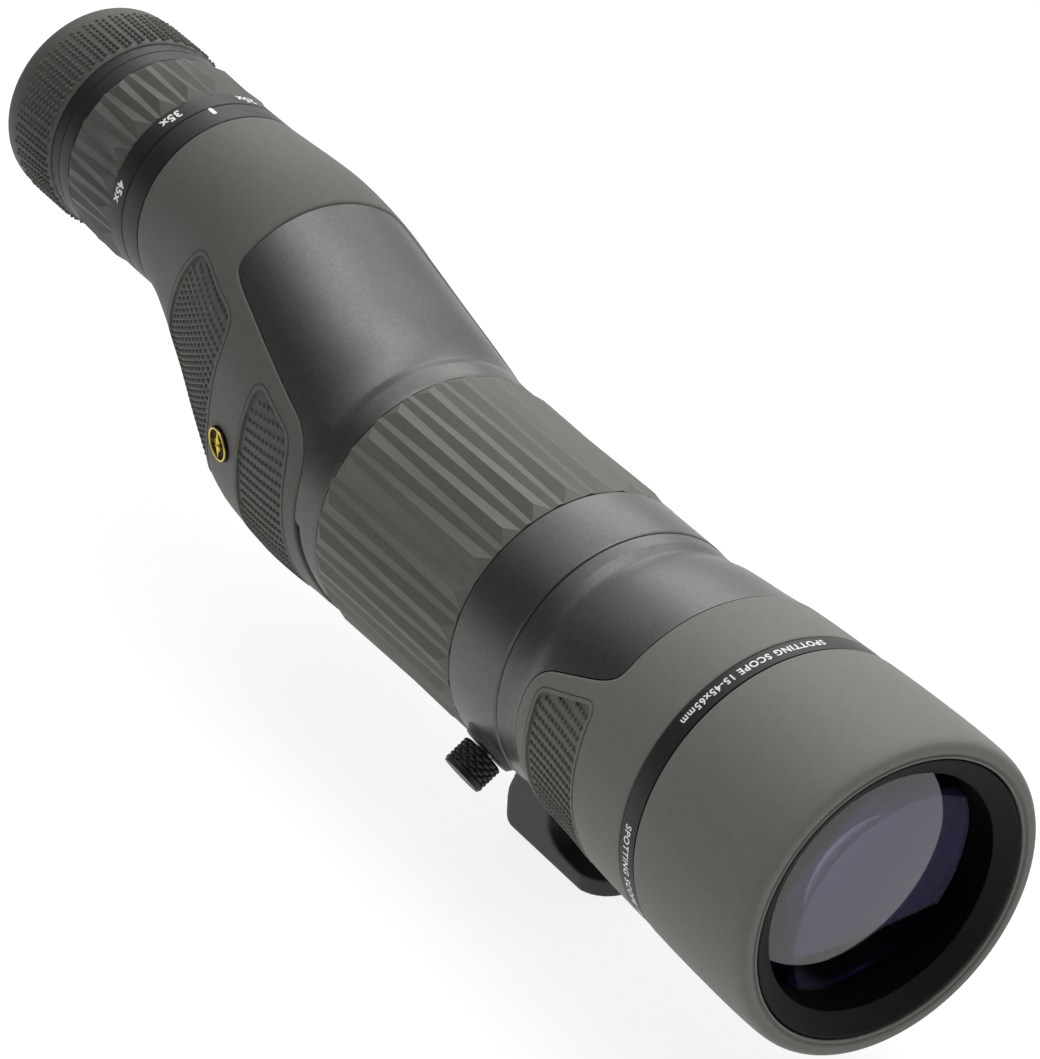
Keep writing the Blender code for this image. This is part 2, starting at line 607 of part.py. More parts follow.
def make_prisms(looks):
    plate_rear, plate_front = PRISM_PLATE_X
    middle = (plate_rear + plate_front) / 2.0
    outline = [rear_point(middle, 360.0 * j / COARSE, HOUSING_WALL + 1.2) for j in range(COARSE)]
    bm = bmesh.new()
    face = bm.faces.new([bm.verts.new((plate_rear, y, z)) for x, y, z in outline])
    far = bmesh.ops.extrude_face_region(bm, geom=[face])
    moved = [item for item in far["geom"] if isinstance(item, bmesh.types.BMVert)]
    bmesh.ops.translate(bm, verts=moved, vec=(plate_front - plate_rear, 0.0, 0.0))
    plate = new_object("prism_plate", bm, looks["matt"], (middle, 0.0, AXIS_Z))
    beams = ((0.0, 0.0, 10.5), (PRISM_SHIFT, PRISM_SHIFT, 9.5), (0.0, EYE_RISE, 9.5))
    for number, (y, rise, radius) in enumerate(beams, 1):
        bm = bmesh.new()
        turn = Matrix.Translation((middle, y, AXIS_Z + rise)) @ Matrix.Rotation(math.pi / 2, 4, "Y")
        bmesh.ops.create_cone(bm, cap_ends=True, segments=24, radius1=radius, radius2=radius,
                              depth=10.0, matrix=turn)
        combine(plate, new_object(f"beam_{number}_tool", bm, looks["matt"]), "DIFFERENCE")

    half = PRISM_HYPOTENUSE / 2.0
    flat = 1.2
    prism_outline = [(-half, 0.0), (half, 0.0), (half, flat), (flat, half), (-flat, half),
                     (-half, flat)]
    clear = 0.5
    thick = 0.8
    reach = half + 3.6
    lift = 0.1
    inner = [(-half - clear, flat), (-flat - clear / 2.0, half + clear),
             (flat + clear / 2.0, half + clear), (half + clear, flat)]
    outer = [(half + clear + thick, flat + thick), (flat + clear / 2.0 + thick / 2.0,
              half + clear + thick), (-flat - clear / 2.0 - thick / 2.0, half + clear + thick),
             (-half - clear - thick, flat + thick)]
    strap_outline = ([(-reach, lift), (-half - clear, lift)] + inner
                     + [(half + clear, lift), (reach, lift), (reach, lift + thick)] + outer
                     + [(-reach, lift + thick)])
    layout = (
        ("rear_prism", PRISM_SHIFT / 2.0, PRISM_SHIFT / 2.0, 1.0, plate_rear - GAP, False),
        ("front_prism", PRISM_SHIFT / 2.0, EYE_RISE - PRISM_SHIFT / 2.0, -1.0,
         plate_front + GAP, True),
    )
    for name, y, rise, direction, face_x, forward in layout:
        frame = prism_frame(y, rise, direction, face_x, forward)
        new_object(name, prism_bmesh(prism_outline, PRISM_WIDTH / 2.0, frame), looks["prism"],
                   frame.translation)
        new_object(f"{name}_clip", prism_bmesh(strap_outline, 3.0, frame), looks["steel"],
                   frame.translation)


# ---------------------------------------------------------------- eyepiece

def make_eyepiece_tube(looks):
    eye = {"axis_z": EYE_Z, "segments": COARSE}
    holder = turned("eyepiece_tube", [
        (EYE_TUBE_REAR_X, EYE_TUBE_R), (-189.3, EYE_TUBE_R), (-189.3, 25.7),
        (EYEPIECE_X - 0.1, 25.7), (EYEPIECE_X - 0.1, EYE_TUBE_R), (-179.5, EYE_TUBE_R),
        (-179.5, EYE_TUBE_BORE), (EYE_TUBE_REAR_X, EYE_TUBE_BORE)], looks["matt"], **eye)
    turned("index_ring", [
        (-195.1, 28.2), (EYEPIECE_X - 0.1, 28.2), (EYEPIECE_X - 0.1, 26.0), (-189.6, 26.0),
        (-189.6, EYE_TUBE_R + GAP), (-195.1, EYE_TUBE_R + GAP)], looks["black"], axis_z=EYE_Z)
    tube("field_stop", -189.5, -188.0, 9.0, 17.2, looks["matt"], **eye)
    lens("eye_lens", -247.0, -243.2, 17.2, 2.3, 3.0, looks["glass"], axis_z=EYE_Z)
    tube("eye_lens_retainer", -249.8, -247.8, 15.6, 17.2, looks["matt"], **eye)
    turned("eyecup_stop_ring", [
        (CUP_FRONT_X + 0.2, 27.9), (-230.6, 27.9), (-229.8, 27.2), (-229.0, 27.9),
        (ZOOM_REAR_X - 0.1, 27.9), (ZOOM_REAR_X - 0.1, EYE_TUBE_R + GAP),
        (CUP_FRONT_X + 0.2, EYE_TUBE_R + GAP)], looks["black"], axis_z=EYE_Z)
    return holder


def make_zoom(looks, holder):
    eye = {"axis_z": EYE_Z, "segments": COARSE}
    sleeve = tube("zoom_cam_sleeve", -224.2, -195.6, EYE_TUBE_R + GAP, 22.3, looks["steel"], **eye)
    tube("zoom_ring_body", -224.2, -195.6, 22.6, 24.7, looks["black"], **eye)
    tube("scale_ring", ZOOM_FRONT_X + 0.1, SCALE_FRONT_X - 0.1, 25.0, 28.2, looks["black"],
         axis_z=EYE_Z)
    faceted_grip("zoom_grip", ZOOM_REAR_X + 0.2, ZOOM_FRONT_X - 0.2, 25.0, 27.9, 27.8, 28.8, 3.0,
                 ZOOM_FACETS, looks["grip"], EYE_Z, 1.2)
    groups = (
        ("front", ZOOM_FRONT_CELL_X, 180.0, ZOOM_RATE),
        ("rear", ZOOM_REAR_CELL_X, 0.0, -ZOOM_RATE),
    )
    for place, x, angle, rate in groups:
        tube(f"zoom_{place}_cell", x - 3.6, x + 3.6, 13.8, 17.2, looks["matt"], **eye)
        bulge = 1.6 if place == "front" else -0.9
        lens(f"zoom_{place}_lens", x - 2.0, x + 2.0, 13.5, bulge, bulge, looks["glass"],
             axis_z=EYE_Z)
        radial_solid(f"zoom_{place}_pin", [(1.4, EYE_TUBE_BORE), (1.4, 22.1)], x, angle,
                     looks["steel"], axis_z=EYE_Z, segments=16)
        cam = helical_slot_cutter(f"cam_{place}_tool", x, angle, ZOOM_LOW_TURN, ZOOM_HIGH_TURN,
                                  rate, 1.8, (19.0, 24.0), looks["steel"], EYE_Z)
        combine(sleeve, cam, "DIFFERENCE")
        reach = abs(rate) * math.radians(ZOOM_LOW_TURN) + 1.8
        side = 1.0 if angle == 0.0 else -1.0
        heights = sorted((EYE_Z + side * 14.0, EYE_Z + side * 22.0))
        slot = block_bmesh((x - reach, x + reach), (-1.7, 1.7), heights)
        combine(holder, new_object(f"tube_{place}_tool", slot, looks["matt"]), "DIFFERENCE")


def make_eyecup(looks):
    eye = {"axis_z": EYE_Z, "segments": COARSE}
    tube("eyecup_guide_ring", -245.0, -238.0, EYE_TUBE_R + GAP, 22.6, looks["nylon"], **eye)
    tube("eyecup_sleeve", -255.0, CUP_FRONT_X - 0.2, 22.9, 24.7, looks["black"], **eye)
    turned("eyecup", [
        (CUP_FRONT_X - 0.1, 25.0), (CUP_FRONT_X - 0.1, 28.4), (-255.6, 28.9), (-257.8, 28.4),
        (CUP_REAR_X, 26.8), (CUP_REAR_X, 22.6), (-257.6, 19.6), (-255.3, 18.4),
        (-255.3, 25.0)], looks["cup"], axis_z=EYE_Z)


def build():
    clear_scene()
    looks = make_materials()
    make_tripod_collar(looks)
    make_collar_lock(looks)
    make_main_barrel(looks)
    make_front_armour(looks)
    make_objective(looks)
    make_sunshade(looks)
    make_focusing(looks)
    make_prism_housing(looks)
    make_rear_armour(looks)
    make_badge(looks)
    make_prisms(looks)
    make_zoom(looks, make_eyepiece_tube(looks))
    make_eyecup(looks)


build()
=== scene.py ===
"""Visible pieces of a spotting scope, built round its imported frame.

Lengths are in millimetres until a mesh is stored, and are stored in metres. Every angle round an
axis is in degrees, counted from the top towards the right-hand side.
"""
import math

import bmesh
import bpy
import numpy as np
from mathutils import Matrix, Vector
from mathutils.geometry import delaunay_2d_cdt


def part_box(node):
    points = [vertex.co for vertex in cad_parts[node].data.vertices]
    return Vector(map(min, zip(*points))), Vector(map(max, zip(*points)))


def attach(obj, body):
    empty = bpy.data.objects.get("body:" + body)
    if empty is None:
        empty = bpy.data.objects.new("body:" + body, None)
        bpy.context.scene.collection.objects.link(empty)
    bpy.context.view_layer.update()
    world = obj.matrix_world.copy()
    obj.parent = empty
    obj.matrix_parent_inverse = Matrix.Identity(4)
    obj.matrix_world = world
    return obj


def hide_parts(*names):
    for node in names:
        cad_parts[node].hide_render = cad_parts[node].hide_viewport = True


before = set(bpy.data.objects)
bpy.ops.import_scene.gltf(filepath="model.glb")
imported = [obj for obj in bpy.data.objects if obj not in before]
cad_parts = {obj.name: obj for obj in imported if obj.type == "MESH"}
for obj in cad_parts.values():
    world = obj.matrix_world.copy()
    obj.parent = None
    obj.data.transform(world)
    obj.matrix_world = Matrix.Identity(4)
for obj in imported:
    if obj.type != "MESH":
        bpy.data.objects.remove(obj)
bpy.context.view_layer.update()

MM = 0.001
SEGMENTS = 168
WALL = 2.3                     # depth of the bed that the rubber lies in
METAL_DROP = 0.3               # bare metal lies this far under the rubber's surface
SLIT, SLIT_ANGLE = 2.0, 88.5   # open gap before the rear rubber, from this angle downwards
ARC_MM = 0.66                  # millimetres of arc in one degree, for laying out patches
PANEL_FLOOR = -0.85            # a sunk panel's floor, against the rubber round it
GRID = 2.4                     # spacing of the loose points inside a rubber shell
COLUMN_STEP = 1.2              # degrees between the columns of the bare metal shells
STEP_END = 47.6                # the moulded steps beside the focusing ring run out at this angle
LOCK_X, LOCK_ANGLE = -6.5, 123.0   # axis of the collar lock
LOOKS = {}                     # filled by make_looks: key of a look, its material


def node_range(node, axis):
    low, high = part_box(node)
    return low[axis] / MM, high[axis] / MM


AXIS_Z = sum(node_range("name_ring", 2)) / 2.0
EYE_Z = sum(node_range("scale_ring", 2)) / 2.0
NAME_REAR, NAME_FRONT = node_range("name_ring", 0)
SHADE_REAR, RIM_X = node_range("sunshade_armour", 0)
COLLAR_REAR, COLLAR_FRONT = -17.8, 3.6
FOCUS_REAR, FOCUS_FRONT = node_range("focus_grip", 0)
ZOOM_REAR, ZOOM_FRONT = node_range("zoom_grip", 0)
SCALE_REAR, SCALE_FRONT = node_range("scale_ring", 0)
CUP_REAR, CUP_FRONT = node_range("eyecup", 0)
HOUSING_FRONT = node_range("prism_housing", 0)[1]
EYEPIECE_X = node_range("index_ring", 0)[1]

# outside of the straight part: station, radius
FRONT_PROFILE = [
    (65.2, 42.6), (50.0, 41.8), (42.0, 41.2), (33.0, 40.2), (18.0, 38.9), (11.5, 37.6),
    (4.0, 37.3),
]

# sections of the offset rear body: station, radius, height of upper centre, height of lower centre
REAR_SECTIONS = [
    (-80.6, 37.6, 0.0, 0.0), (-89.0, 38.0, 0.6, 0.0), (-103.0, 37.9, 5.1, -1.2),
    (-119.0, 37.1, 12.0, -2.6), (-135.0, 35.9, 19.8, -2.4), (-141.5, 35.4, 22.8, -0.4),
    (-149.0, 33.7, 27.1, 3.2), (-157.0, 31.9, 30.6, 8.8), (-165.0, 30.2, 32.8, 16.0),
    (-173.0, 29.1, 33.7, 24.0), (-181.0, 28.5, 33.9, 31.2), (-187.1, 28.2, 33.9, 33.9),
]

# edge of each rubber armour: angle, station, rounding of that corner
FRONT_EDGE = [
    (0.0, 42.7, 0.0), (44.0, 42.7, 3.0), (48.8, 38.3, 3.5), (61.0, 17.0, 6.0), (77.0, 13.2, 8.0),
    (180.0, 13.2, 0.0),
]
REAR_EDGE = [
    (0.0, -141.7, 0.0), (44.5, -141.7, 3.4), (47.6, -137.0, 3.0), (55.5, -97.5, 5.0),
    (66.0, -91.4, 6.0), (92.0, -90.4, 6.0), (115.0, -85.7, 6.0), (130.0, -83.5, 6.0),
    (180.0, -83.0, 0.0),
]

# outlines of the sunk grip panels: station, angle, rounding
PANEL_A = [
    (-154.4, 57.6, 3.2), (-135.0, 58.4, 3.0), (-134.2, 67.0, 5.0), (-138.4, 95.0, 9.0),
    (-143.5, 119.0, 4.0), (-170.5, 113.0, 5.0), (-167.6, 95.0, 8.0), (-160.6, 74.5, 8.0),
]
PANEL_B = [
    (-116.6, 61.2, 4.5), (-100.2, 64.2, 3.5), (-97.9, 76.0, 8.0), (-96.4, 108.0, 10.0),
    (-96.0, 131.0, 4.0), (-125.6, 127.0, 4.5), (-121.6, 100.0, 12.0), (-118.2, 76.0, 10.0),
]
PANEL_C = [
    (20.4, 67.2, 2.6), (40.4, 57.4, 3.0), (41.5, 74.0, 8.0), (42.4, 100.0, 10.0),
    (43.2, 125.0, 3.5), (18.8, 122.0, 3.5), (19.2, 98.0, 10.0), (20.2, 80.0, 8.0),
]


# ---- curves

def smooth_curve(table, column):
    """Monotone cubic through one column of a table of stations, for whole arrays."""
    rows = sorted(table)
    xs = np.array([row[0] for row in rows])
    ys = np.array([row[column] for row in rows])
    step = np.diff(xs)
    slope = np.diff(ys) / step
    tangent = np.zeros(len(xs))
    tangent[0], tangent[-1] = slope[0], slope[-1]
    for k in range(1, len(xs) - 1):
        if slope[k - 1] * slope[k] > 0.0:
            tangent[k] = 2.0 * slope[k - 1] * slope[k] / (slope[k - 1] + slope[k])

    def value(x):
        x = np.clip(x, xs[0], xs[-1])
        k = np.clip(np.searchsorted(xs, x) - 1, 0, len(step) - 1)
        t = (x - xs[k]) / step[k]
        return ((1.0 + 2.0 * t) * (1.0 - t) ** 2 * ys[k] + t * (1.0 - t) ** 2 * step[k] * tangent[k]
                + t * t * (3.0 - 2.0 * t) * ys[k + 1]
                - t * t * (1.0 - t) * step[k] * tangent[k + 1])
    return value


front_radius = smooth_curve(FRONT_PROFILE, 1)
rear_radius = smooth_curve(REAR_SECTIONS, 1)
rear_upper = smooth_curve(REAR_SECTIONS, 2)
rear_lower = smooth_curve(REAR_SECTIONS, 3)


def soft_step(value, start, stop):
    t = np.clip((value - start) / (stop - start), 0.0, 1.0)
    return t * t * (3.0 - 2.0 * t)


def front_place(x, angle, lift=0.0):
    a = np.radians(angle)
    radius = front_radius(x) + lift
    return np.stack(np.broadcast_arrays(x, -radius * np.sin(a), AXIS_Z + radius * np.cos(a)), -1)


def rear_place(x, angle, lift=0.0):
    a = np.radians(angle)
    radius = rear_radius(x) + lift
    upper, lower = rear_upper(x), rear_lower(x)
    blend = np.tanh(3.0 * np.cos(a)) / math.tanh(3.0)
    centre = (upper + lower) / 2.0 + (upper - lower) / 2.0 * blend
    return np.stack(np.broadcast_arrays(
        x, -radius * np.sin(a), AXIS_Z + centre + radius * np.cos(a)), -1)


def rear_point(x, angle, lift=0.0):
    return tuple(rear_place(np.array(x), angle, lift))


def round_place(x, radius, angle, axis_z):
    a = math.radians(angle)
    return (x, -radius * math.sin(a), axis_z + radius * math.cos(a))


def spread(start, stop, count):
    return [start + (stop - start) * k / count for k in range(count + 1)]


def bend(before, here, after, rounding, share, steps):
    """Points of a bent corner that takes up at most a share of each side."""
    back = min(rounding, share * (before - here).length)
    ahead = min(rounding, share * (after - here).length)
    start = here + (before - here).normalized() * back
    stop = here + (after - here).normalized() * ahead
    return [start * (1 - t) ** 2 + here * 2 * t * (1 - t) + stop * t * t
            for t in spread(0.0, 1.0, steps)]


def bend_corners(points, closed, spacing, steps=7):
    """Polyline through 2-D points whose corners are bent by their own rounding."""
    flat = [Vector(point[:2]) for point in points]
    count = len(flat)
    pieces = []
    for k, here in enumerate(flat):
        rounding = points[k][2]
        if not closed and k in (0, count - 1) or rounding <= 0.0:
            pieces.append([here])
            continue
        pieces.append(bend(flat[k - 1], here, flat[(k + 1) % count], rounding, 0.48, steps))
    line = [point for piece in pieces for point in piece]
    if closed:
        line.append(line[0])
    result = [line[0]]
    for here, there in zip(line, line[1:]):
        parts = max(1, math.ceil((there - here).length / spacing))
        result += [here.lerp(there, (n + 1) / parts) for n in range(parts)]
    return result[:-1] if closed else result


def offset_line(line, distance, closed):
    """The polyline moved to its left by distance."""
    count = len(line)
    moved = []
    for k in range(count):
        if closed:
            before, after = line[k - 1], line[(k + 1) % count]
        else:
            before, after = line[max(k - 1, 0)], line[min(k + 1, count - 1)]
        along = (after - before).normalized()
        moved.append(line[k] + Vector((-along.y, along.x)) * distance)
    return moved


# ---- meshes

def store(name, bm, look, body, replaced=(), sharp=32.0):
    """Turns millimetres into metres, marks edges and hands the piece to the frame."""
    bmesh.ops.recalc_face_normals(bm, faces=bm.faces)
    limit = math.radians(sharp)
    for face in bm.faces:
        face.smooth = True
    for edge in bm.edges:
        if len(edge.link_faces) == 2:
            edge.smooth = edge.calc_face_angle(0.0) < limit
    bmesh.ops.scale(bm, vec=(MM, MM, MM), verts=bm.verts)
    mesh = bpy.data.meshes.new(name)
    bm.to_mesh(mesh)
    bm.free()
    mesh.materials.append(LOOKS[look])
    piece = bpy.data.objects.new(name, mesh)
    bpy.context.collection.objects.link(piece)
    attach(piece, body)
    if replaced:
        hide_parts(*replaced)


def bridge(bm, here, there):
    """Quads between two closed loops of the same length."""
    for k in range(len(here)):
        n = (k + 1) % len(here)
        bm.faces.new((here[k], here[n], there[n], there[k]))


def ring_columns(bm, columns, wrap=True):
    """Closed surface from equal closed loops laid round an axis."""
    verts = [[bm.verts.new(point) for point in column] for column in columns]
    for here, there in zip(verts, verts[1:] + (verts[:1] if wrap else [])):
        bridge(bm, here, there)
    return verts


def soften(profile, steps=4):
    """Bends the corners of a closed profile of (station, radius, rounding)."""
    flat = [Vector(point[:2]) for point in profile]
    result = []
    for k, point in enumerate(profile):
        if len(point) > 2 and point[2] > 0.0:
            result += bend(flat[k - 1], flat[k], flat[(k + 1) % len(flat)], point[2], 0.49, steps)
        else:
            result.append(flat[k])
    return [(p.x, p.y) for p in result]


def turned_bmesh(profile, axis_z, segments=SEGMENTS):
    bm = bmesh.new()
    loop = soften(profile)
    ring_columns(bm, [[round_place(x, r, 360.0 * k / segments, axis_z) for x, r in loop]
                      for k in range(segments)])
    return bm


def turned_piece(name, look, body, replaced, axis_z, profile, sharp=32.0):
    store(name, turned_bmesh(profile, axis_z), look, body, replaced, sharp)


def add_dome(bm, centre, outward, along, radii, height, rings=3, sides=10, sink=0.15):
    """Small rounded bump standing on a surface; radii are along and across."""
    outward = outward.normalized()
    along = (along - outward * along.dot(outward)).normalized()
    across = outward.cross(along)
    rows = []
    for k in range(rings):
        a = math.pi / 2.0 * k / rings
        level = height * math.sin(a) - (sink if k == 0 else 0.0)
        rows.append([bm.verts.new(
            centre + outward * level + along * (radii[0] * math.cos(a) * math.cos(t))
            + across * (radii[1] * math.cos(a) * math.sin(t)))
            for t in (math.tau * n / sides for n in range(sides))])
    top = bm.verts.new(centre + outward * height)
    for here, there in zip(rows, rows[1:]):
        bridge(bm, here, there)
    for n in range(sides):
        bm.faces.new((rows[-1][n], rows[-1][(n + 1) % sides], top))
    bm.faces.new(list(reversed(rows[0])))


# ---- materials

def link(tree, source, target):
    tree.links.new(source, target)


def noise_field(tree, scale, detail=3.0, rough=0.55):
    coord = tree.nodes.new("ShaderNodeTexCoord")
    node = tree.nodes.new("ShaderNodeTexNoise")
    node.inputs["Scale"].default_value = scale
    node.inputs["Detail"].default_value = detail
    node.inputs["Roughness"].default_value = rough
    link(tree, coord.outputs["Object"], node.inputs["Vector"])
    return node.outputs["Fac"]


def mapped(tree, value, low, high, source=(0.3, 0.7)):
    node = tree.nodes.new("ShaderNodeMapRange")
    node.inputs["From Min"].default_value, node.inputs["From Max"].default_value = source
    node.inputs["To Min"].default_value, node.inputs["To Max"].default_value = low, high
    link(tree, value, node.inputs["Value"])
    return node.outputs["Result"]


def ramp(tree, value, stops):
    node = tree.nodes.new("ShaderNodeValToRGB")
    while len(node.color_ramp.elements) < len(stops):
        node.color_ramp.elements.new(0.5)
    for element, (place, colour) in zip(node.color_ramp.elements, stops):
        element.position = place
        element.color = (*colour, 1.0)
    link(tree, value, node.inputs["Fac"])
    return node.outputs["Color"]


def linear(colour):
    """Linear light from an 8-bit display colour."""
    return tuple(((c / 255.0 + 0.055) / 1.055) ** 2.4 if c > 10 else c / 255.0 / 12.92
                 for c in colour)


def finish_look(name, colour, roughness, metallic=0.0, vary=0.035, patch=420.0, grain=2600.0,
                bump=0.25, depth=0.00006, rough_vary=0.06, fleck=0.0, specular=0.5):
    """Painted, moulded or turned surface with fine grain and a little unevenness."""
    look = bpy.data.materials.new(name)
    look.use_nodes = True
    tree = look.node_tree
    shader = tree.nodes["Principled BSDF"]
    base = linear(colour)
    dark = tuple(c * (1.0 - vary) for c in base)
    light = tuple(c * (1.0 + vary) for c in base)
    tone = ramp(tree, noise_field(tree, patch, 4.0), [(0.35, dark), (0.65, light)])
    if fleck > 0.0:
        spots = ramp(tree, noise_field(tree, 3200.0, 1.0, 0.4),
                     [(0.0, (1.0 - fleck,) * 3), (0.42, (1.0,) * 3), (0.58, (1.0,) * 3),
                      (0.72, (1.0 + 1.6 * fleck,) * 3)])
        mix = tree.nodes.new("ShaderNodeMix")
        mix.data_type = "RGBA"
        mix.blend_type = "MULTIPLY"
        mix.clamp_result = False
        mix.inputs["Factor"].default_value = 1.0
        link(tree, tone, mix.inputs["A"])
        link(tree, spots, mix.inputs["B"])
        tone = mix.outputs["Result"]
    link(tree, tone, shader.inputs["Base Color"])
    link(tree, mapped(tree, noise_field(tree, patch * 6.0, 3.0), roughness - rough_vary,
                      roughness + rough_vary), shader.inputs["Roughness"])
    shader.inputs["Metallic"].default_value = metallic
    relief = tree.nodes.new("ShaderNodeBump")
    relief.inputs["Strength"].default_value = bump
    relief.inputs["Distance"].default_value = depth
    link(tree, noise_field(tree, grain, 3.0, 0.6), relief.inputs["Height"])
    link(tree, relief.outputs["Normal"], shader.inputs["Normal"])
    shader.inputs["Specular IOR Level"].default_value = specular
    return look


def make_looks():
    """Colours are 8-bit display colours; glass has a base colour, an index and a coating tint."""
    finishes = {
        "armour": ("armour_rubber", (105, 105, 100), 0.62, dict(bump=0.22, specular=0.3)),
        # rear: the same rubber as armour, made darker: painted shade on the rear body
        "rear": ("armour_rubber_painted_shade", (90, 90, 86), 0.62, dict(bump=0.22, specular=0.3)),
        "grip": ("grip_rubber", (89, 89, 83), 0.58, dict(grain=1900.0, bump=0.16, specular=0.4)),
        "cup": ("eyecup_rubber", (80, 80, 76), 0.60, dict(bump=0.2, specular=0.3)),
        "panel": ("panel_rubber", (88, 88, 83), 0.62, dict(bump=0.12, specular=0.3)),
        "metal": ("body_metal", (90, 89, 88), 0.41,
                  dict(metallic=0.85, bump=0.4, depth=0.00004, fleck=0.25, rough_vary=0.04)),
        # foot: the body paint made darker on the foot alone: painted shade under the barrel
        "foot": ("foot_metal_painted_shade", (50, 50, 50), 0.50,
                 dict(metallic=0.5, bump=0.25, depth=0.00003, fleck=0.2)),
        "black": ("black_metal", (33, 33, 34), 0.46,
                  dict(metallic=0.05, vary=0.05, bump=0.12, depth=0.00003, specular=0.3)),
        "matt": ("matt_black", (8, 8, 8), 0.66, dict(vary=0.08, bump=0.3, specular=0.2)),
        "bore": ("bore_black", (4, 4, 4), 0.9, dict(vary=0.1, bump=0.2, specular=0.08)),
        "knob": ("knob_rubber", (20, 20, 21), 0.50, dict(vary=0.08, bump=0.2)),
        "steel": ("bright_steel", (168, 168, 172), 0.28,
                  dict(metallic=1.0, vary=0.05, bump=0.1, depth=0.00002)),
        "nylon": ("dark_nylon", (56, 55, 53), 0.5, dict(vary=0.04, bump=0.1)),
        "felt": ("black_felt", (30, 30, 31), 0.95,
                 dict(vary=0.2, grain=3400.0, bump=0.7, depth=0.0002)),
        "gold": ("gold_badge", (214, 190, 78), 0.30,
                 dict(metallic=0.85, vary=0.06, bump=0.12, depth=0.00002)),
        "white": ("white_print", (226, 226, 222), 0.5, dict(vary=0.03, bump=0.05, depth=0.00001)),
    }
    for key, (name, colour, roughness, more) in finishes.items():
        LOOKS[key] = finish_look(name, colour, roughness, **more)
    LOOKS["lens"] = glass_look("lens_glass", (0.30, 0.27, 0.45), 1.68, (1.0, 1.0, 1.0))
    LOOKS["coated"] = glass_look("coated_glass", (0.33, 0.27, 0.52), 1.65, (0.66, 0.54, 1.0))
    LOOKS["prism"] = glass_look("prism_glass", (0.93, 0.95, 0.95), 1.57, (0.9, 0.95, 1.0))


def glass_look(name, colour, ior, tint):
    look = bpy.data.materials.new(name)
    look.use_nodes = True
    tree = look.node_tree
    shader = tree.nodes["Principled BSDF"]
    tone = ramp(tree, noise_field(tree, 40.0, 2.0),
                [(0.3, tuple(c * 0.98 for c in colour)), (0.7, colour)])
    link(tree, tone, shader.inputs["Base Color"])
    shader.inputs["Roughness"].default_value = 0.0
    shader.inputs["Transmission Weight"].default_value = 1.0
    shader.inputs["IOR"].default_value = ior
    shader.inputs["Specular Tint"].default_value = (*tint, 1.0)
    return look


# ---- rubber shells with sunk panels

def triangulate(lines, loose):
    """Triangles between constraint lines and loose points; each point carries a height."""
    points, heights, edges = [], [], []
    index = {}

    def add(point, height):
        key = (round(point[0], 4), round(point[1], 4))
        if key not in index:
            index[key] = len(points)
            points.append(Vector((point[0], point[1])))
            heights.append(height)
        return index[key]

    for line, height, closed in lines:
        ids = [add(point, height) for point in line]
        edges += [(a, b) for a, b in zip(ids, ids[1:] + (ids[:1] if closed else [])) if a != b]
    fixed = np.array([tuple(point) for point in points])
    for point, height in loose:
        gap = np.min(np.hypot(fixed[:, 0] - point[0], fixed[:, 1] - point[1]))
        if gap > 1.15:
            add(point, height)
    coords, _, faces, origin, _, _ = delaunay_2d_cdt(points, edges, [], 1, 1e-5)
    out_heights = []
    for k, coord in enumerate(coords):
        if origin[k]:
            out_heights.append(heights[origin[k][0]])
        else:
            distance = [(coord - point).length for point in points]
            out_heights.append(heights[int(np.argmin(distance))])
    return coords, out_heights, faces


def try_face(bm, corners):
    """Adds a face, unless it is there already."""
    try:
        bm.faces.new(corners)
    except ValueError:
        pass


def panel_loop(outline, side, spacing):
    corners = [(x, side * angle * ARC_MM, rounding) for x, angle, rounding in outline]
    return bend_corners(corners, True, spacing)


